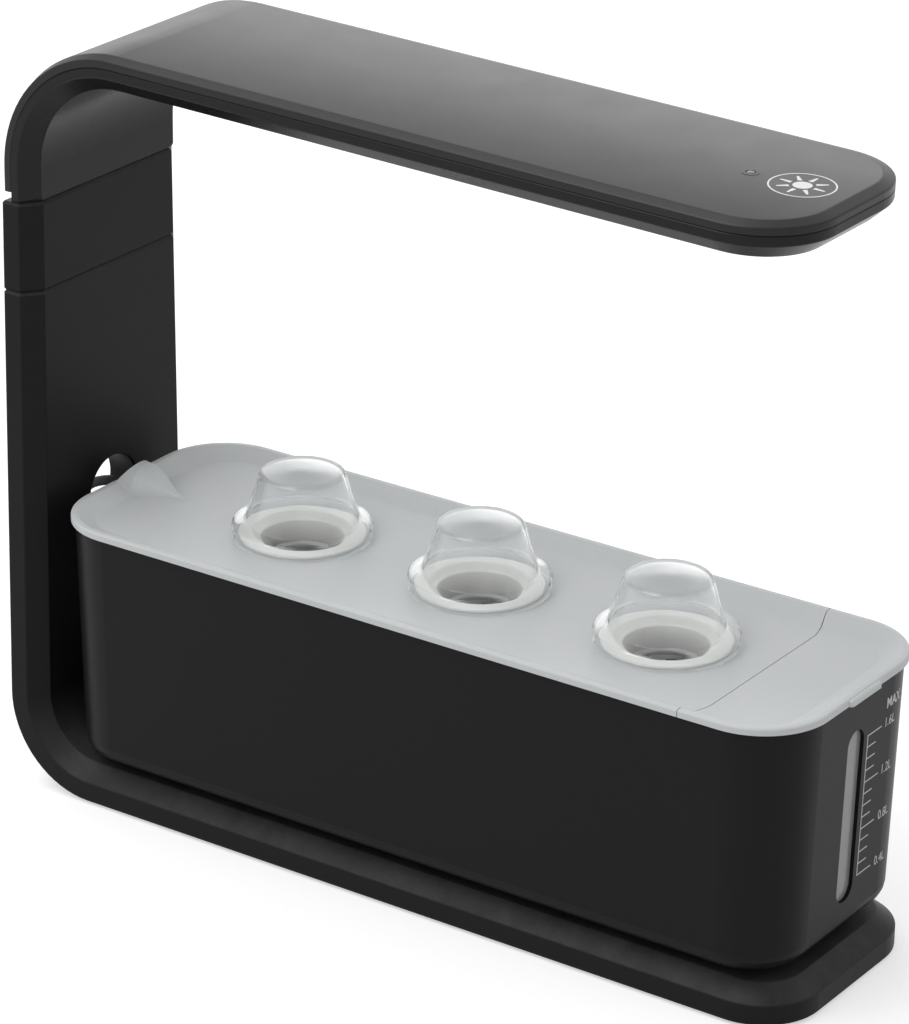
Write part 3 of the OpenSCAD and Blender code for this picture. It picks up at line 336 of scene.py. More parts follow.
def dust_and_sheen_group():
    """A pale film on what faces up, broken by noise: a little settled dust, and where it is laid on thickly
    a painted sheen that lightens the up-facing faces.
    """
    tree, start, end = new_group(
        "Settled Dust and Painted Sheen",
        [
            ("Colour", "NodeSocketColor", (0.5, 0.5, 0.5, 1)),
            ("Dust and Sheen", "NodeSocketColor", (0.35, 0.35, 0.34, 1)),
            ("Amount", "NodeSocketFloat", 0.02),
        ],
        [("Colour", "NodeSocketColor"), ("Mask", "NodeSocketFloat")],
    )
    normal = tree.nodes.new("ShaderNodeNewGeometry").outputs["Normal"]
    facing = math_node(tree, "MAXIMUM", axis_of(tree, normal, "Z"), 0.0)
    broken = noise_node(tree, object_place(tree), 90.0, detail=5.0, roughness=0.7)
    lying = math_node(tree, "MULTIPLY", facing, broken)
    amount = math_node(tree, "MULTIPLY", lying, start.outputs["Amount"])
    dust_and_sheen_tint = mixed_colour(tree, amount, start.outputs["Colour"], start.outputs["Dust and Sheen"])
    tree.links.new(dust_and_sheen_tint, end.inputs["Colour"])
    tree.links.new(amount, end.inputs["Mask"])
    return tree


def shared_group(name, make):
    """A node group by name, built the first time that it is asked for."""
    return bpy.data.node_groups.get(name) or make()


# ---------------------------------------------------------------------------------------------
# Finishes
# ---------------------------------------------------------------------------------------------


def new_finish(name):
    """A material with a Principled shader: the material, its tree and the shader."""
    material = bpy.data.materials.new(name)
    material.use_nodes = True
    tree = material.node_tree
    return material, tree, tree.nodes["Principled BSDF"]


def node_of(tree, kind):
    """The first node of a kind in a finish, such as its skin group or its bump."""
    return next(node for node in tree.nodes if node.type == kind)


def add_skin(
    tree,
    shader,
    colour,
    roughness,
    tone_spread,
    rough_spread,
    grain_size,
    drift_size,
    grain_depth,
):
    """The moulded skin of a finish, and the bump that its grain makes; returns the skin."""
    skin = tree.nodes.new("ShaderNodeGroup")
    skin.node_tree = shared_group("Moulded Skin", moulded_skin_group)
    skin.inputs["Colour"].default_value = colour
    skin.inputs["Tone Spread"].default_value = tone_spread
    skin.inputs["Roughness"].default_value = roughness
    skin.inputs["Roughness Spread"].default_value = rough_spread
    skin.inputs["Grain Size"].default_value = grain_size
    skin.inputs["Drift Size"].default_value = drift_size
    bump = tree.nodes.new("ShaderNodeBump")
    bump.inputs["Distance"].default_value = grain_depth * MM
    tree.links.new(skin.outputs["Height"], bump.inputs["Height"])
    tree.links.new(bump.outputs["Normal"], shader.inputs["Normal"])
    return skin


def moulded(
    name,
    colour,
    roughness,
    grain_size=2200.0,
    grain_depth=0.02,
    tone_spread=0.05,
    rough_spread=0.04,
    drift_size=14.0,
    specular=0.5,
    dust_and_sheen=0.0,
):
    """A moulded plastic or rubber, with grain_size grains in a metre that are grain_depth mm deep."""
    material, tree, shader = new_finish(name)
    skin = add_skin(
        tree, shader, colour, roughness, tone_spread, rough_spread, grain_size, drift_size, grain_depth
    )
    tint = skin.outputs["Colour"]
    # Pale film on up-facing faces: a little real dust, and on the frame mostly a painted sheen.
    if dust_and_sheen > 0:
        dust_and_sheen_film = tree.nodes.new("ShaderNodeGroup")
        dust_and_sheen_film.node_tree = shared_group("Settled Dust and Painted Sheen", dust_and_sheen_group)
        dust_and_sheen_film.inputs["Amount"].default_value = dust_and_sheen
        tree.links.new(tint, dust_and_sheen_film.inputs["Colour"])
        tint = dust_and_sheen_film.outputs["Colour"]
    tree.links.new(tint, shader.inputs["Base Color"])
    tree.links.new(skin.outputs["Roughness"], shader.inputs["Roughness"])
    shader.inputs["Specular IOR Level"].default_value = specular
    return material, tree, shader


def frame_black():
    """Satin black of the base, column and segment, whose up-facing faces, such as the base's slopes, get a
    painted sheen.
    """
    # The thick pale film on up-facing faces here is a painted sheen that stands in for the light the base's
    # slopes catch, with little real dust in it.
    return moulded("Frame Black", colours().frame, 0.42, grain_depth=0.012, specular=0.11, dust_and_sheen=0.17)[0]


def head_black():
    """Smoother black of the lamp's inner shell."""
    return moulded("Head Black", colours().frame, 0.28, grain_depth=0.008, specular=0.18, dust_and_sheen=0.006)[0]


def cover_grey():
    """Satin cover of the lamp, which shades with a slight crown from side to side."""
    grain_depth = 0.010
    material, tree, _ = moulded(
        "Lamp Cover", colours().cover, 0.36, grain_depth=grain_depth, specular=0.28, dust_and_sheen=0.01
    )
    low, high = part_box("head_cover")
    across = math_node(tree, "DIVIDE", axis_of(tree, object_place(tree), "Y"), (high.y - low.y) / 2)
    square = math_node(tree, "MULTIPLY", across, across)
    crown = math_node(tree, "MULTIPLY", square, -CROWN_RISE / (grain_depth * MM))
    height = math_node(tree, "ADD", node_of(tree, "GROUP").outputs["Height"], crown)
    tree.links.new(height, node_of(tree, "BUMP").inputs["Height"])
    return material


def tank_black():
    """Black of the water tank."""
    return moulded("Tank Black", colours().tank, 0.36, grain_depth=0.010, specular=0.10, dust_and_sheen=0.004)[0]


def lid_grey():
    """Light grey of the lid and fill door, which lets a little light in."""
    material, _, shader = moulded(
        "Lid Grey",
        colours().lid,
        0.50,
        grain_size=1700.0,
        grain_depth=0.014,
        tone_spread=0.018,
        specular=0.3,
    )
    shader.inputs["Subsurface Weight"].default_value = 0.08
    shader.inputs["Subsurface Scale"].default_value = 1.0 * MM
    return material


def height_band(tree, low, high, below, above):
    """A value that goes from below to above between two heights."""
    band = tree.nodes.new("ShaderNodeMapRange")
    tree.links.new(axis_of(tree, object_place(tree), "Z"), band.inputs["Value"])
    band.inputs["From Min"].default_value = low
    band.inputs["From Max"].default_value = high
    band.inputs["To Min"].default_value = below
    band.inputs["To Max"].default_value = above
    return band.outputs["Result"]


def basket_white():
    """Off-white baskets whose cups are painted darker below the collar, as shade inside them."""
    material, tree, shader = moulded(
        "Basket White", colours().basket, 0.38, grain_size=2600.0, grain_depth=0.008, tone_spread=0.02
    )
    shader.inputs["Subsurface Weight"].default_value = 0.35
    shader.inputs["Subsurface Radius"].default_value = (1.0, 1.0, 1.0)
    shader.inputs["Subsurface Scale"].default_value = 3.0 * MM
    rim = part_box("basket_1")[1].z
    # Painted shade: the colour darkens down the cups below the rim, where shade falls inside them.
    tone = height_band(tree, rim - CUP_SHADE_FULL, rim - CUP_SHADE_STARTS, CUP_SHADE_SHARE, 1.0)
    tint = node_of(tree, "GROUP").outputs["Colour"]
    tree.links.new(scaled_colour(tree, tint, tone), shader.inputs["Base Color"])
    return material


def clear_plastic(name, tint, roughness, ior=1.46, transmission=1.0):
    """A clear plastic whose gloss drifts a little, with the faint waves of a thin moulding."""
    material, tree, shader = new_finish(name)
    shader.inputs["Transmission Weight"].default_value = transmission
    shader.inputs["IOR"].default_value = ior
    skin = add_skin(
        tree,
        shader,
        tint,
        roughness,
        tone_spread=0.006,
        rough_spread=0.02,
        grain_size=260.0,
        drift_size=40.0,
        grain_depth=0.006,
    )
    tree.links.new(skin.outputs["Colour"], shader.inputs["Base Color"])
    tree.links.new(skin.outputs["Roughness"], shader.inputs["Roughness"])
    return material, tree, shader, skin


def dome_clear():
    """Clear domes whose flat tops are lightly frosted by the mould."""
    material, tree, shader, skin = clear_plastic("Dome Clear", colours().dome, 0.03, ior=1.03)
    shader.inputs["Coat Roughness"].default_value = 0.10
    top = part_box("dome_1")[1].z
    low, high = top - FROST_STARTS, top - FROST_FULL
    frost = height_band(tree, low, high, 0.0, 0.45)
    shade = height_band(tree, low, high, 1.0, 0.86)
    gloss = height_band(tree, low, high, 0.9, 0.45)
    tree.links.new(gloss, shader.inputs["Coat Weight"])
    rough = math_node(tree, "ADD", skin.outputs["Roughness"], frost)
    tree.links.new(rough, shader.inputs["Roughness"])
    tree.links.new(scaled_colour(tree, skin.outputs["Colour"], shade), shader.inputs["Base Color"])
    return material


def window_clear():
    """Smoky level window in the tank's end."""
    return clear_plastic("Level Window", colours().window, 0.22, transmission=0.35)[0]


def lens_grey():
    """Grey light guide of the status light."""
    return clear_plastic("Light Guide", (0.10, 0.10, 0.105, 1), 0.25, transmission=0.3)[0]


def diffuser_frost():
    """Frosted window under the lamp's diodes."""
    material, _, shader = moulded(
        "Light Window", colours().diffuser, 0.5, grain_size=1400.0, grain_depth=0.02, tone_spread=0.01
    )
    shader.inputs["Subsurface Weight"].default_value = 0.3
    shader.inputs["Subsurface Scale"].default_value = 3.0 * MM
    return material


def foot_rubber():
    """Dull black rubber of the feet."""
    return moulded(
        "Foot Rubber",
        colours().rubber,
        0.75,
        grain_size=1500.0,
        grain_depth=0.03,
        tone_spread=0.10,
        specular=0.3,
        dust_and_sheen=0.06,
    )[0]


def foot_silicone():
    """Milky silicone of the pump's suction feet."""
    return moulded("Silicone", (0.55, 0.55, 0.53, 1), 0.5, grain_size=1500.0, specular=0.4)[0]


def lead_black():
    """Jacket of the pump lead and its plug."""
    return moulded(
        "Lead Sheath",
        colours().rubber,
        0.48,
        grain_size=2600.0,
        grain_depth=0.01,
        tone_spread=0.08,
        specular=0.4,
    )[0]


def socket_black():
    """Black of the two sockets."""
    return moulded(
        "Socket Black", (0.02, 0.02, 0.02, 1), 0.35, grain_size=2600.0, grain_depth=0.008, specular=0.4
    )[0]


def pump_black():
    """Black of the pump's body and cover."""
    return moulded(
        "Pump Black", (0.02, 0.02, 0.021, 1), 0.45, grain_size=1900.0, tone_spread=0.08, specular=0.35
    )[0]


def rotor_white():
    """White of the pump's impeller."""
    return moulded("Rotor White", (0.68, 0.68, 0.66, 1), 0.35, grain_size=2600.0, grain_depth=0.008)[0]


def board_white():
    """White lacquer of the lamp's board."""
    return moulded(
        "Lamp Board", (0.75, 0.75, 0.73, 1), 0.3, grain_size=900.0, grain_depth=0.01, tone_spread=0.03
    )[0]


def board_green():
    """Lacquered circuit board, with runs of copper under the lacquer."""
    material, tree, shader = moulded(
        "Board Green", colours().board, 0.25, grain_size=900.0, grain_depth=0.008, tone_spread=0.1
    )
    tracks = tree.nodes.new("ShaderNodeTexBrick")
    tree.links.new(object_place(tree), tracks.inputs["Vector"])
    tracks.inputs["Scale"].default_value = 160.0
    tracks.inputs["Mortar Size"].default_value = 0.05
    tint = node_of(tree, "GROUP").outputs["Colour"]
    tracked = mixed_colour(tree, tracks.outputs["Fac"], tint, (0.03, 0.19, 0.08, 1))
    tree.links.new(tracked, shader.inputs["Base Color"])
    return material


def diode_yellow():
    """Glossy yellow phosphor of the lamp's diodes."""
    material, _, shader = moulded(
        "Diode Phosphor", (0.85, 0.72, 0.22, 1), 0.2, grain_size=3000.0, grain_depth=0.004
    )
    shader.inputs["Coat Weight"].default_value = 0.5
    return material


def metal(name, colour, roughness, mottle):
    """A drawn or plated metal whose tone and gloss vary finely; mottle counts spots in a metre."""
    material, _, shader = moulded(
        name,
        colour,
        roughness,
        grain_size=3000.0,
        grain_depth=0.004,
        tone_spread=0.06,
        rough_spread=0.08,
        drift_size=mottle,
    )
    shader.inputs["Metallic"].default_value = 1.0
    return material


def screw_steel():
    """Steel of the screws and the pump's shaft."""
    return metal("Screw Steel", colours().steel, 0.3, mottle=400.0)


def contact_brass():
    """Gilding of the contacts in the column's joints."""
    return metal("Contact Gilding", colours().brass, 0.25, mottle=300.0)


def ink(name, colour):
    """A printing ink."""
    return moulded(
        name, colour, 0.55, grain_size=3000.0, grain_depth=0.006, tone_spread=0.04, specular=0.3
    )[0]


def print_white():
    """Ink of the sun key."""
    return ink("Print White", colours().print)


def scale_white():
    """Ink of the level scale."""
    return ink("Scale White", colours().scale)


def key_pane():
    """Glossy black of the key's pane and the light's ring."""
    return moulded(
        "Key Pane",
        colours().pane,
        0.30,
        grain_size=2600.0,
        grain_depth=0.004,
        tone_spread=0.04,
        specular=0.22,
    )[0]


FINISHES = {
    "frame_black": frame_black,
    "head_black": head_black,
    "cover_grey": cover_grey,
    "tank_black": tank_black,
    "lid_grey": lid_grey,
    "basket_white": basket_white,
    "dome_clear": dome_clear,
    "window_clear": window_clear,
    "diffuser_frost": diffuser_frost,
    "foot_rubber": foot_rubber,
    "foot_silicone": foot_silicone,
    "screw_steel": screw_steel,
    "contact_brass": contact_brass,
    "socket_black": socket_black,
    "lead_black": lead_black,
    "board_green": board_green,
    "board_white": board_white,
    "diode_yellow": diode_yellow,
    "lens_grey": lens_grey,
    "pump_black": pump_black,
    "rotor_white": rotor_white,
    "print_white": print_white,
    "scale_white": scale_white,
    "key_pane": key_pane,
}
made_finishes = {}


def finish_of(slot):
    """The material of a finish, built the first time that it is asked for."""
    if slot not in made_finishes:
        made_finishes[slot] = FINISHES[slot]()
    return made_finishes[slot]


def coat(*nodes):
    """Gives CAD nodes the finish of their material slot in the record."""
    slots = {s["node"]: s["material_slot"] for s in frame["record"]["subparts"]}
    for node in nodes:
        mesh = NODES[node].data
        mesh.materials.clear()
        mesh.materials.append(finish_of(slots[node]))


# ---------------------------------------------------------------------------------------------
# Mesh helpers
# ---------------------------------------------------------------------------------------------


def new_piece(name, bm, finish, body, place=None, smooth=False):
    """Makes a mesh piece from a bmesh, gives it a finish and lets it ride on a body."""
    if place is not None:
        bm.transform(place)
    bmesh.ops.recalc_face_normals(bm, faces=bm.faces)
    mesh = bpy.data.meshes.new(name)
    bm.to_mesh(mesh)
    bm.free()
    for face in mesh.polygons:
        face.use_smooth = smooth
    mesh.materials.append(finish)
    piece = bpy.data.objects.new(name, mesh)
    bpy.context.scene.collection.objects.link(piece)
    if body is not None:
        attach(piece, body)
    return piece


def skin_of(node):
    """A search tree over a CAD node's faces."""
    mesh = NODES[node].data
    return BVHTree.FromPolygons([v.co[:] for v in mesh.vertices], [p.vertices[:] for p in mesh.polygons])


def surface_at(skin, start, aim):
    """Where a ray from start meets a skin, and the surface's outward normal there."""
    hit, normal, _, _ = skin.ray_cast(start, aim)
    if hit is None:
        raise RuntimeError(f"no surface at {tuple(start)} where a piece was to sit on it")
    return hit, -normal if normal.dot(aim) > 0 else normal


def wrap_on(bm, node, axes):
    """Lays a flat print over a CAD node's curved surface: z is kept as the height over the surface."""
    skin = skin_of(node)
    off = Vector(axes.col[2][:3])
    for vertex in bm.verts:
        above = axes @ Vector((vertex.co.x, vertex.co.y, 0)) + off * NEAR_OUT
        hit, normal = surface_at(skin, above, -off)
        vertex.co = hit + normal * vertex.co.z


def seat_on(node, start, aim, along):
    """Axes on a CAD node's surface, where a ray from start meets it: x follows along, z leaves it."""
    hit, normal = surface_at(skin_of(node), start, aim)
    x = (along - normal * along.dot(normal)).normalized()
    y = normal.cross(x)
    return Matrix(
        (
            (x.x, y.x, normal.x, hit.x),
            (x.y, y.y, normal.y, hit.y),
            (x.z, y.z, normal.z, hit.z),
            (0, 0, 0, 1),
        )
    )


def circle_points(radius, count=48):
    """Points of a circle round the origin."""
    turns = [math.tau * i / count for i in range(count)]
    return [(radius * math.cos(turn), radius * math.sin(turn)) for turn in turns]


def bar(x0, x1, y0, y1):
    """Corners of a rectangle."""
    return [(x0, y0), (x1, y0), (x1, y1), (x0, y1)]


def add_walls(bm, rows):
    """Faces between each closed row of vertices and the next."""
    for near, far in zip(rows, rows[1:]):
        for i in range(len(near)):
            j = (i + 1) % len(near)
            bm.faces.new((near[i], near[j], far[j], far[i]))


def add_prism(bm, outline, low=-INK_SINK, high=INK_RISE):
    """A closed flat prism over a 2D outline."""
    lower = [bm.verts.new((x, y, low)) for x, y in outline]
    upper = [bm.verts.new((x, y, high)) for x, y in outline]
    bm.faces.new(upper)
    bm.faces.new(list(reversed(lower)))
    add_walls(bm, (lower, upper))


def add_ring(bm, inner, outer, high=INK_RISE, count=96):
    """A closed flat ring between two radii."""
    rows = []
    for radius, z in ((inner, -INK_SINK), (outer, -INK_SINK), (outer, high), (inner, high)):
        rows.append([bm.verts.new((x, y, z)) for x, y in circle_points(radius, count)])
    add_walls(bm, [*rows, rows[0]])


def add_disc(bm, radius, edge, high, count=96):
    """A closed thin disc whose upper edge is chamfered."""
    rows = []
    for reach, z in ((radius, -INK_SINK), (radius, (high - INK_SINK) / 2), (radius - edge, high)):
        rows.append([bm.verts.new((x, y, z)) for x, y in circle_points(reach, count)])
    add_walls(bm, rows)
    bm.faces.new(list(reversed(rows[0])))
    bm.faces.new(rows[-1])


def add_lettering(bm, text, height, left, middle, bold=0.0):
    """Plain lettering as thin closed solids: left edge at left, its middle at the height middle."""
    curve = bpy.data.curves.new("lettering", "FONT")
    curve.body = text
    curve.size = height / CAPITAL_SHARE
    curve.extrude = (INK_RISE + INK_SINK) / 2
    curve.offset = bold
    curve.resolution_u = 4
    carrier = bpy.data.objects.new("lettering", curve)
    bpy.context.scene.collection.objects.link(carrier)
    bpy.context.view_layer.update()
    mesh = bpy.data.meshes.new_from_object(carrier)
    bpy.data.objects.remove(carrier)
    bpy.data.curves.remove(curve)
    low = min(v.co.x for v in mesh.vertices)
    mesh.transform(Matrix.Translation((-low, -height / 2, (INK_RISE - INK_SINK) / 2)))
    mesh.transform(Matrix.Translation((left, middle, 0)) @ Matrix.Diagonal((LETTER_SQUEEZE, 1, 1, 1)))
    bm.from_mesh(mesh)
    bpy.data.meshes.remove(mesh)


def smooth_route(points, steps):
    """Catmull-Rom curve through points, with steps stretches between two neighbours."""
    ends = [points[0] * 2 - points[1], *points, points[-1] * 2 - points[-2]]
    route = []
    for k in range(1, len(ends) - 2):
        a, b, c, d = ends[k - 1 : k + 3]
        for i in range(steps):
            t = i / steps
            square = (2 * a - 5 * b + 4 * c - d) * t**2
            cube = (3 * b - a - 3 * c + d) * t**3
            route.append(0.5 * (2 * b + (c - a) * t + square + cube))
    return [*route, points[-1]]


def add_tube(bm, route, radius, sides=20):
    """A closed tube along a route that stays in the plane y = 0."""
    rings = []
    for i, point in enumerate(route):
        ahead = (route[min(i + 1, len(route) - 1)] - route[max(i - 1, 0)]).normalized()
        out = ahead.cross(TO_LEFT).normalized()
        rings.append([bm.verts.new(point + x * out + y * TO_LEFT) for x, y in circle_points(radius, sides)])
    add_walls(bm, rings)
    bm.faces.new(rings[0])
    bm.faces.new(list(reversed(rings[-1])))


# ---------------------------------------------------------------------------------------------
# Operators: one for each piece or group of like pieces
# ---------------------------------------------------------------------------------------------


class GARDEN_OT_pump_lead(bpy.types.Operator):
    """Pump lead, from its right-angled plug over the tank's rim to the pump"""

    bl_idname = "garden.pump_lead"
    bl_label = "Pump Lead"

    def execute(self, context):
        width = sizes().lead_width
        points = [LEAD_ORIGIN + Vector(point) * MM for point in LEAD_POINTS]
        route = smooth_route(points, LEAD_STEPS)
        bm = bmesh.new()
        add_tube(bm, route, width / 2)
        lead = new_piece("pump_lead_sheath", bm, finish_of("lead_black"), None, smooth=True)
        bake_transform(lead)
        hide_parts("pump_lead")
        coat("lead_plug")
        return {"FINISHED"}


class GARDEN_OT_frame_finish(bpy.types.Operator):
    """Satin black base, column and extension segment, with bottom cover, feet and screws"""

    bl_idname = "garden.frame_finish"
    bl_label = "Frame"

    def execute(self, context):
        coat("base_frame", "base_cover", "extension_segment", "rubber_feet", "base_screws")
        return {"FINISHED"}


class GARDEN_OT_socket_finish(bpy.types.Operator):
    """Sockets in the column's back, the contacts of the plug joints and the driver board"""

    bl_idname = "garden.socket_finish"
    bl_label = "Sockets and Boards"

    def execute(self, context):
        coat("power_inlet", "pump_socket", "driver_board")
        coat("column_contacts", "segment_contacts", "head_contacts")
        return {"FINISHED"}


class GARDEN_OT_lamp_finish(bpy.types.Operator):
    """Lamp head: cover, shell, light window, diodes and boards"""

    bl_idname = "garden.lamp_finish"
    bl_label = "Lamp Head"

    def execute(self, context):
        coat("head_shell", "head_cover", "diffuser", "led_board", "leds", "touch_board", "indicator_lens")
        return {"FINISHED"}


def arm_axes(back):
    """Axes on the middle line of the arm's flat top, back from its tip, with x towards the tip."""
    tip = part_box("head_cover")[1]
    over = Vector((tip.x - back, BESIDE_LIGHT, tip.z + FAR_OUT))
    return seat_on("head_cover", over, -UP, ALONG) @ Matrix.Translation((0, -BESIDE_LIGHT, 0))


class GARDEN_OT_sun_key(bpy.types.Operator):
    """Touch key: a glossy pane with a printed ring round a sun with eight rays"""

    bl_idname = "garden.sun_key"
    bl_label = "Sun Key"

    def execute(self, context):
        s = sizes()
        foot = s.ray_width / 2
        tip = foot * RAY_TIP_SHARE
        bm = bmesh.new()
        add_ring(bm, s.key_radius - s.key_line, s.key_radius)
        add_prism(bm, circle_points(s.sun_radius))
        for k in range(SUN_RAYS):
            angle = SUN_TURN + math.tau * k / SUN_RAYS
            along = Vector((math.cos(angle), math.sin(angle)))
            across = Vector((-along.y, along.x))
            corners = [
                along * s.ray_start - across * foot,
                along * s.ray_end - across * tip,
                along * s.ray_end + across * tip,
                along * s.ray_start + across * foot,
            ]
            add_prism(bm, [tuple(c) for c in corners])
        key = new_piece("sun_key_print", bm, finish_of("print_white"), "head", arm_axes(s.key_back))
        bm = bmesh.new()
        add_disc(bm, s.key_radius - s.key_line / 2, PANE_EDGE, PANE_RISE)
        pane = new_piece("sun_key_pane", bm, finish_of("key_pane"), "head", arm_axes(s.key_back))
        return {"FINISHED"}


class GARDEN_OT_status_ring(bpy.types.Operator):
    """Fine raised ring round the status light"""

    bl_idname = "garden.status_ring"
    bl_label = "Status Light Ring"

    def execute(self, context):
        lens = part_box("indicator_lens")
        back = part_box("head_cover")[1].x - (lens[0].x + lens[1].x) / 2
        inner = (lens[1].x - lens[0].x) / 2 + LIGHT_GAP
        bm = bmesh.new()
        add_ring(bm, inner, sizes().light_ring, high=LIGHT_RING_RISE, count=48)
        ring = new_piece("status_light_ring", bm, finish_of("key_pane"), "head", arm_axes(back))
        return {"FINISHED"}


class GARDEN_OT_tank_finish(bpy.types.Operator):
    """Black water tank with its level window"""

    bl_idname = "garden.tank_finish"
    bl_label = "Tank"

    def execute(self, context):
        coat("tank", "water_window")
        return {"FINISHED"}


class GARDEN_OT_level_scale(bpy.types.Operator):
    """Printed level scale beside the window: upright line, ticks and litres"""

    bl_idname = "garden.level_scale"
    bl_label = "Level Scale"

    def execute(self, context):
        s = sizes()
        low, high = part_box("tank")
        line = s.scale_line
        steps = len(LITRES) - 1
        rise = steps * s.tick_pitch / 2
        middle = low.z + s.tick_top - rise
        axes = seat_on("tank", Vector((high.x + FAR_OUT, s.scale_left, middle)), -ALONG, TO_LEFT)
        bm = bmesh.new()
        add_prism(bm, bar(-line / 2, line / 2, -rise - line / 2, rise + line / 2))
        for k in range(steps * STEP_TICKS + 1):
            y = rise - k * s.tick_pitch / STEP_TICKS
            reach = s.tick_short if k % STEP_TICKS else s.tick_long
            add_prism(bm, bar(line / 2, reach, y - line / 2, y + line / 2))
        left = s.tick_long + NUMBER_GAP
        for k, litres in enumerate(LITRES):
            y = rise - k * s.tick_pitch + NUMBER_LIFT
            add_lettering(bm, litres, s.number_height, left, y)
        add_lettering(bm, "MAX", s.number_height * MAX_GROWTH, left, rise + MAX_LIFT, bold=MAX_BOLD)
        wrap_on(bm, "tank", axes)
        scale = new_piece("level_scale_print", bm, finish_of("scale_white"), "tank")
        return {"FINISHED"}


class GARDEN_OT_lid_finish(bpy.types.Operator):
    """Light grey lid and fill door"""

    bl_idname = "garden.lid_finish"
    bl_label = "Lid and Fill Door"

    def execute(self, context):
        coat("lid", "fill_door")
        return {"FINISHED"}


class GARDEN_OT_pod_finish(bpy.types.Operator):
    """Off-white planting baskets and clear germination domes"""

    bl_idname = "garden.pod_finish"
    bl_label = "Baskets and Domes"

    def execute(self, context):
        coat("basket_1", "basket_2", "basket_3", "dome_1", "dome_2", "dome_3")
        return {"FINISHED"}


class GARDEN_OT_pump_finish(bpy.types.Operator):
    """Circulation pump: body, cover, impeller, shaft and suction feet"""

    bl_idname = "garden.pump_finish"
    bl_label = "Pump"

    def execute(self, context):
        coat("pump_body", "pump_cover", "pump_rotor", "pump_shaft", "pump_feet")
        return {"FINISHED"}


# ---------------------------------------------------------------------------------------------
# Stage
# ---------------------------------------------------------------------------------------------

# The camera's place and turn, the render's size and focal length in pixels, and the sensor's width
CAMERA_AT = Vector((0.7748, -1.1355, 0.7199))
CAMERA_YAW = 0.5993
CAMERA_PITCH = 0.4070
CAMERA_ROLL = 0.0141
RENDER_SIZE = (909, 1024)
FOCAL_PIXELS = 4524.2
SENSOR_MM = 36.0

# The floor's half width, thickness and distance below the feet, and the light that it adds where
# it is seen, so that it clears to white
FLOOR_HALF = 6.0
FLOOR_THICK = 0.02
FLOOR_DROP = 0.2 * MM
FLOOR_LIFT = 0.52

# Strength of the surroundings on the rays that carry light
ROOM_LEVEL = 0.62

# Softboxes: name, place, aim, width, height and watts
SOFTBOXES = (
    ("top_box", (-0.6, -0.2, 1.9), (0.0, 0.0, 0.1), 1.3, 0.9, 14),
    ("key_box", (-0.4, -1.2, 1.6), (0.0, 0.0, 0.1), 1.2, 0.9, 8.5),
    ("back_box", (-1.9, 2.3, 0.95), (0.0, 0.0, 0.25), 1.8, 1.0, 8),
    ("side_box", (1.4, 1.3, 1.5), (0.0, 0.0, 0.1), 1.2, 0.9, 0.5),
    ("front_box", (1.6, -1.6, 1.0), (0.0, 0.0, 0.1), 1.0, 1.0, 0.6),
)


def camera_turn():
    """Rotation of a camera that looks down by the pitch, turned by the yaw and rolled."""
    ahead_level = Vector((-math.sin(CAMERA_YAW), math.cos(CAMERA_YAW), 0))
    ahead = ahead_level * math.cos(CAMERA_PITCH) - UP * math.sin(CAMERA_PITCH)
    right = Vector((math.cos(CAMERA_YAW), math.sin(CAMERA_YAW), 0))
    over = right.cross(ahead)
    tilted_right = right * math.cos(CAMERA_ROLL) + over * math.sin(CAMERA_ROLL)
    tilted_up = over * math.cos(CAMERA_ROLL) - right * math.sin(CAMERA_ROLL)
    columns = (tilted_right, tilted_up, -ahead)
    return Matrix([[c[i] for c in columns] for i in range(3)]).to_quaternion()


def add_camera():
    """The camera of the stage."""
    data = bpy.data.cameras.new("camera")
    data.sensor_fit = "AUTO"
    data.sensor_width = SENSOR_MM
    data.lens = SENSOR_MM * FOCAL_PIXELS / max(RENDER_SIZE)
    data.clip_start = 0.05
    data.clip_end = 60.0
    camera = bpy.data.objects.new("camera", data)
    bpy.context.scene.collection.objects.link(camera)
    camera.location = CAMERA_AT
    camera.rotation_mode = "QUATERNION"
    camera.rotation_quaternion = camera_turn()
    bpy.context.scene.camera = camera


def add_softbox(name, at, aim, width, height, watts):
    """A rectangular area light at a place, turned towards aim."""
    data = bpy.data.lights.new(name, "AREA")
    data.shape = "RECTANGLE"
    data.size = width
    data.size_y = height
    data.energy = watts
    lamp = bpy.data.objects.new(name, data)
    bpy.context.scene.collection.objects.link(lamp)
    lamp.location = at
    lamp.rotation_mode = "QUATERNION"
    lamp.rotation_quaternion = (Vector(aim) - Vector(at)).to_track_quat("-Z", "Y")


def seen_directly(tree):
    """1 on camera, glossy and transmission rays, and 0 on the rays that carry light."""
    path = tree.nodes.new("ShaderNodeLightPath")
    either = math_node(tree, "MAXIMUM", path.outputs["Is Camera Ray"], path.outputs["Is Glossy Ray"])
    return math_node(tree, "MAXIMUM", either, path.outputs["Is Transmission Ray"])


def white_surroundings(level):
    """A world that is white where it is seen, and lights the object at a plain level."""
    world = bpy.data.worlds.new("surroundings")
    bpy.context.scene.world = world
    world.use_nodes = True
    tree = world.node_tree
    background = tree.nodes["Background"]
    background.inputs["Color"].default_value = (1, 1, 1, 1)
    seen = seen_directly(tree)
    strength = math_node(tree, "ADD", math_node(tree, "MULTIPLY", seen, 1.0 - level), level)
    tree.links.new(strength, background.inputs["Strength"])


def floor_finish():
    """A matt pale floor that keeps the object's shadow and clears to white where it is lit."""
    material, tree, shader = moulded(
        "Stage Floor", colours().backdrop, 0.9, grain_size=300.0, tone_spread=0.004, specular=0.1
    )
    shader.inputs["Emission Color"].default_value = (1, 1, 1, 1)
    lift = math_node(tree, "MULTIPLY", seen_directly(tree), FLOOR_LIFT)
    tree.links.new(lift, shader.inputs["Emission Strength"])
    return material


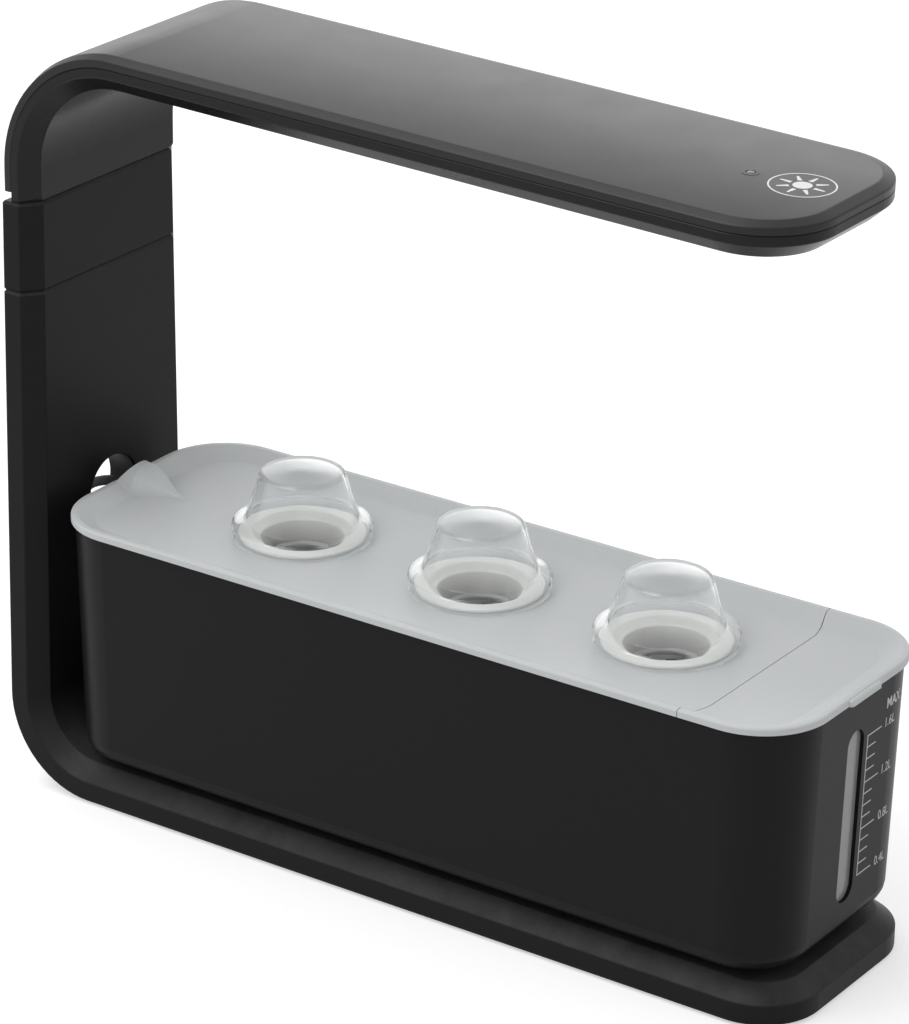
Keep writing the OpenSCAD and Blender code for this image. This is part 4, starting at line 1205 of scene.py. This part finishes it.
class GARDEN_OT_stage(bpy.types.Operator):
    """Pale floor, white surroundings, soft studio light and the camera"""

    bl_idname = "garden.stage"
    bl_label = "Stage"

    def execute(self, context):
        bm = bmesh.new()
        ground = bar(-FLOOR_HALF, FLOOR_HALF, -FLOOR_HALF, FLOOR_HALF)
        add_prism(bm, ground, low=-FLOOR_DROP - FLOOR_THICK, high=-FLOOR_DROP)
        floor = new_piece("stage_floor", bm, floor_finish(), None)
        white_surroundings(ROOM_LEVEL)
        for box in SOFTBOXES:
            add_softbox(*box)
        add_camera()
        context.scene.view_settings.view_transform = "Standard"
        return {"FINISHED"}


# ---------------------------------------------------------------------------------------------
# Panel, registration and the run
# ---------------------------------------------------------------------------------------------

OPERATORS = (
    GARDEN_OT_stage,
    GARDEN_OT_pump_lead,
    GARDEN_OT_frame_finish,
    GARDEN_OT_socket_finish,
    GARDEN_OT_lamp_finish,
    GARDEN_OT_sun_key,
    GARDEN_OT_status_ring,
    GARDEN_OT_tank_finish,
    GARDEN_OT_level_scale,
    GARDEN_OT_lid_finish,
    GARDEN_OT_pod_finish,
    GARDEN_OT_pump_finish,
)


class GARDEN_PT_panel(bpy.types.Panel):
    """Lists the garden's sizes, colours and steps"""

    bl_idname = "GARDEN_PT_panel"
    bl_label = "Countertop Garden"
    bl_space_type = "VIEW_3D"
    bl_region_type = "UI"
    bl_category = "Garden"

    def draw(self, context):
        for group in (context.scene.garden_sizes, context.scene.garden_colours):
            column = self.layout.column(align=True)
            for name in group.__annotations__:
                column.prop(group, name)
        for operator in OPERATORS:
            self.layout.operator(operator.bl_idname)


CLASSES = (GardenSizes, GardenColours, *OPERATORS, GARDEN_PT_panel)


def register():
    """Makes the classes and the two property groups known to Blender."""
    for made in CLASSES:
        bpy.utils.register_class(made)
    bpy.types.Scene.garden_sizes = bpy.props.PointerProperty(type=GardenSizes)
    bpy.types.Scene.garden_colours = bpy.props.PointerProperty(type=GardenColours)


def unregister():
    """Takes back what register did."""
    del bpy.types.Scene.garden_colours
    del bpy.types.Scene.garden_sizes
    for made in reversed(CLASSES):
        bpy.utils.unregister_class(made)


def main():
    """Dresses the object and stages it."""
    register()
    for operator in OPERATORS:
        group, name = operator.bl_idname.split(".")
        getattr(getattr(bpy.ops, group), name)()
    bpy.context.view_layer.update()


if __name__ == "__main__":
    main()
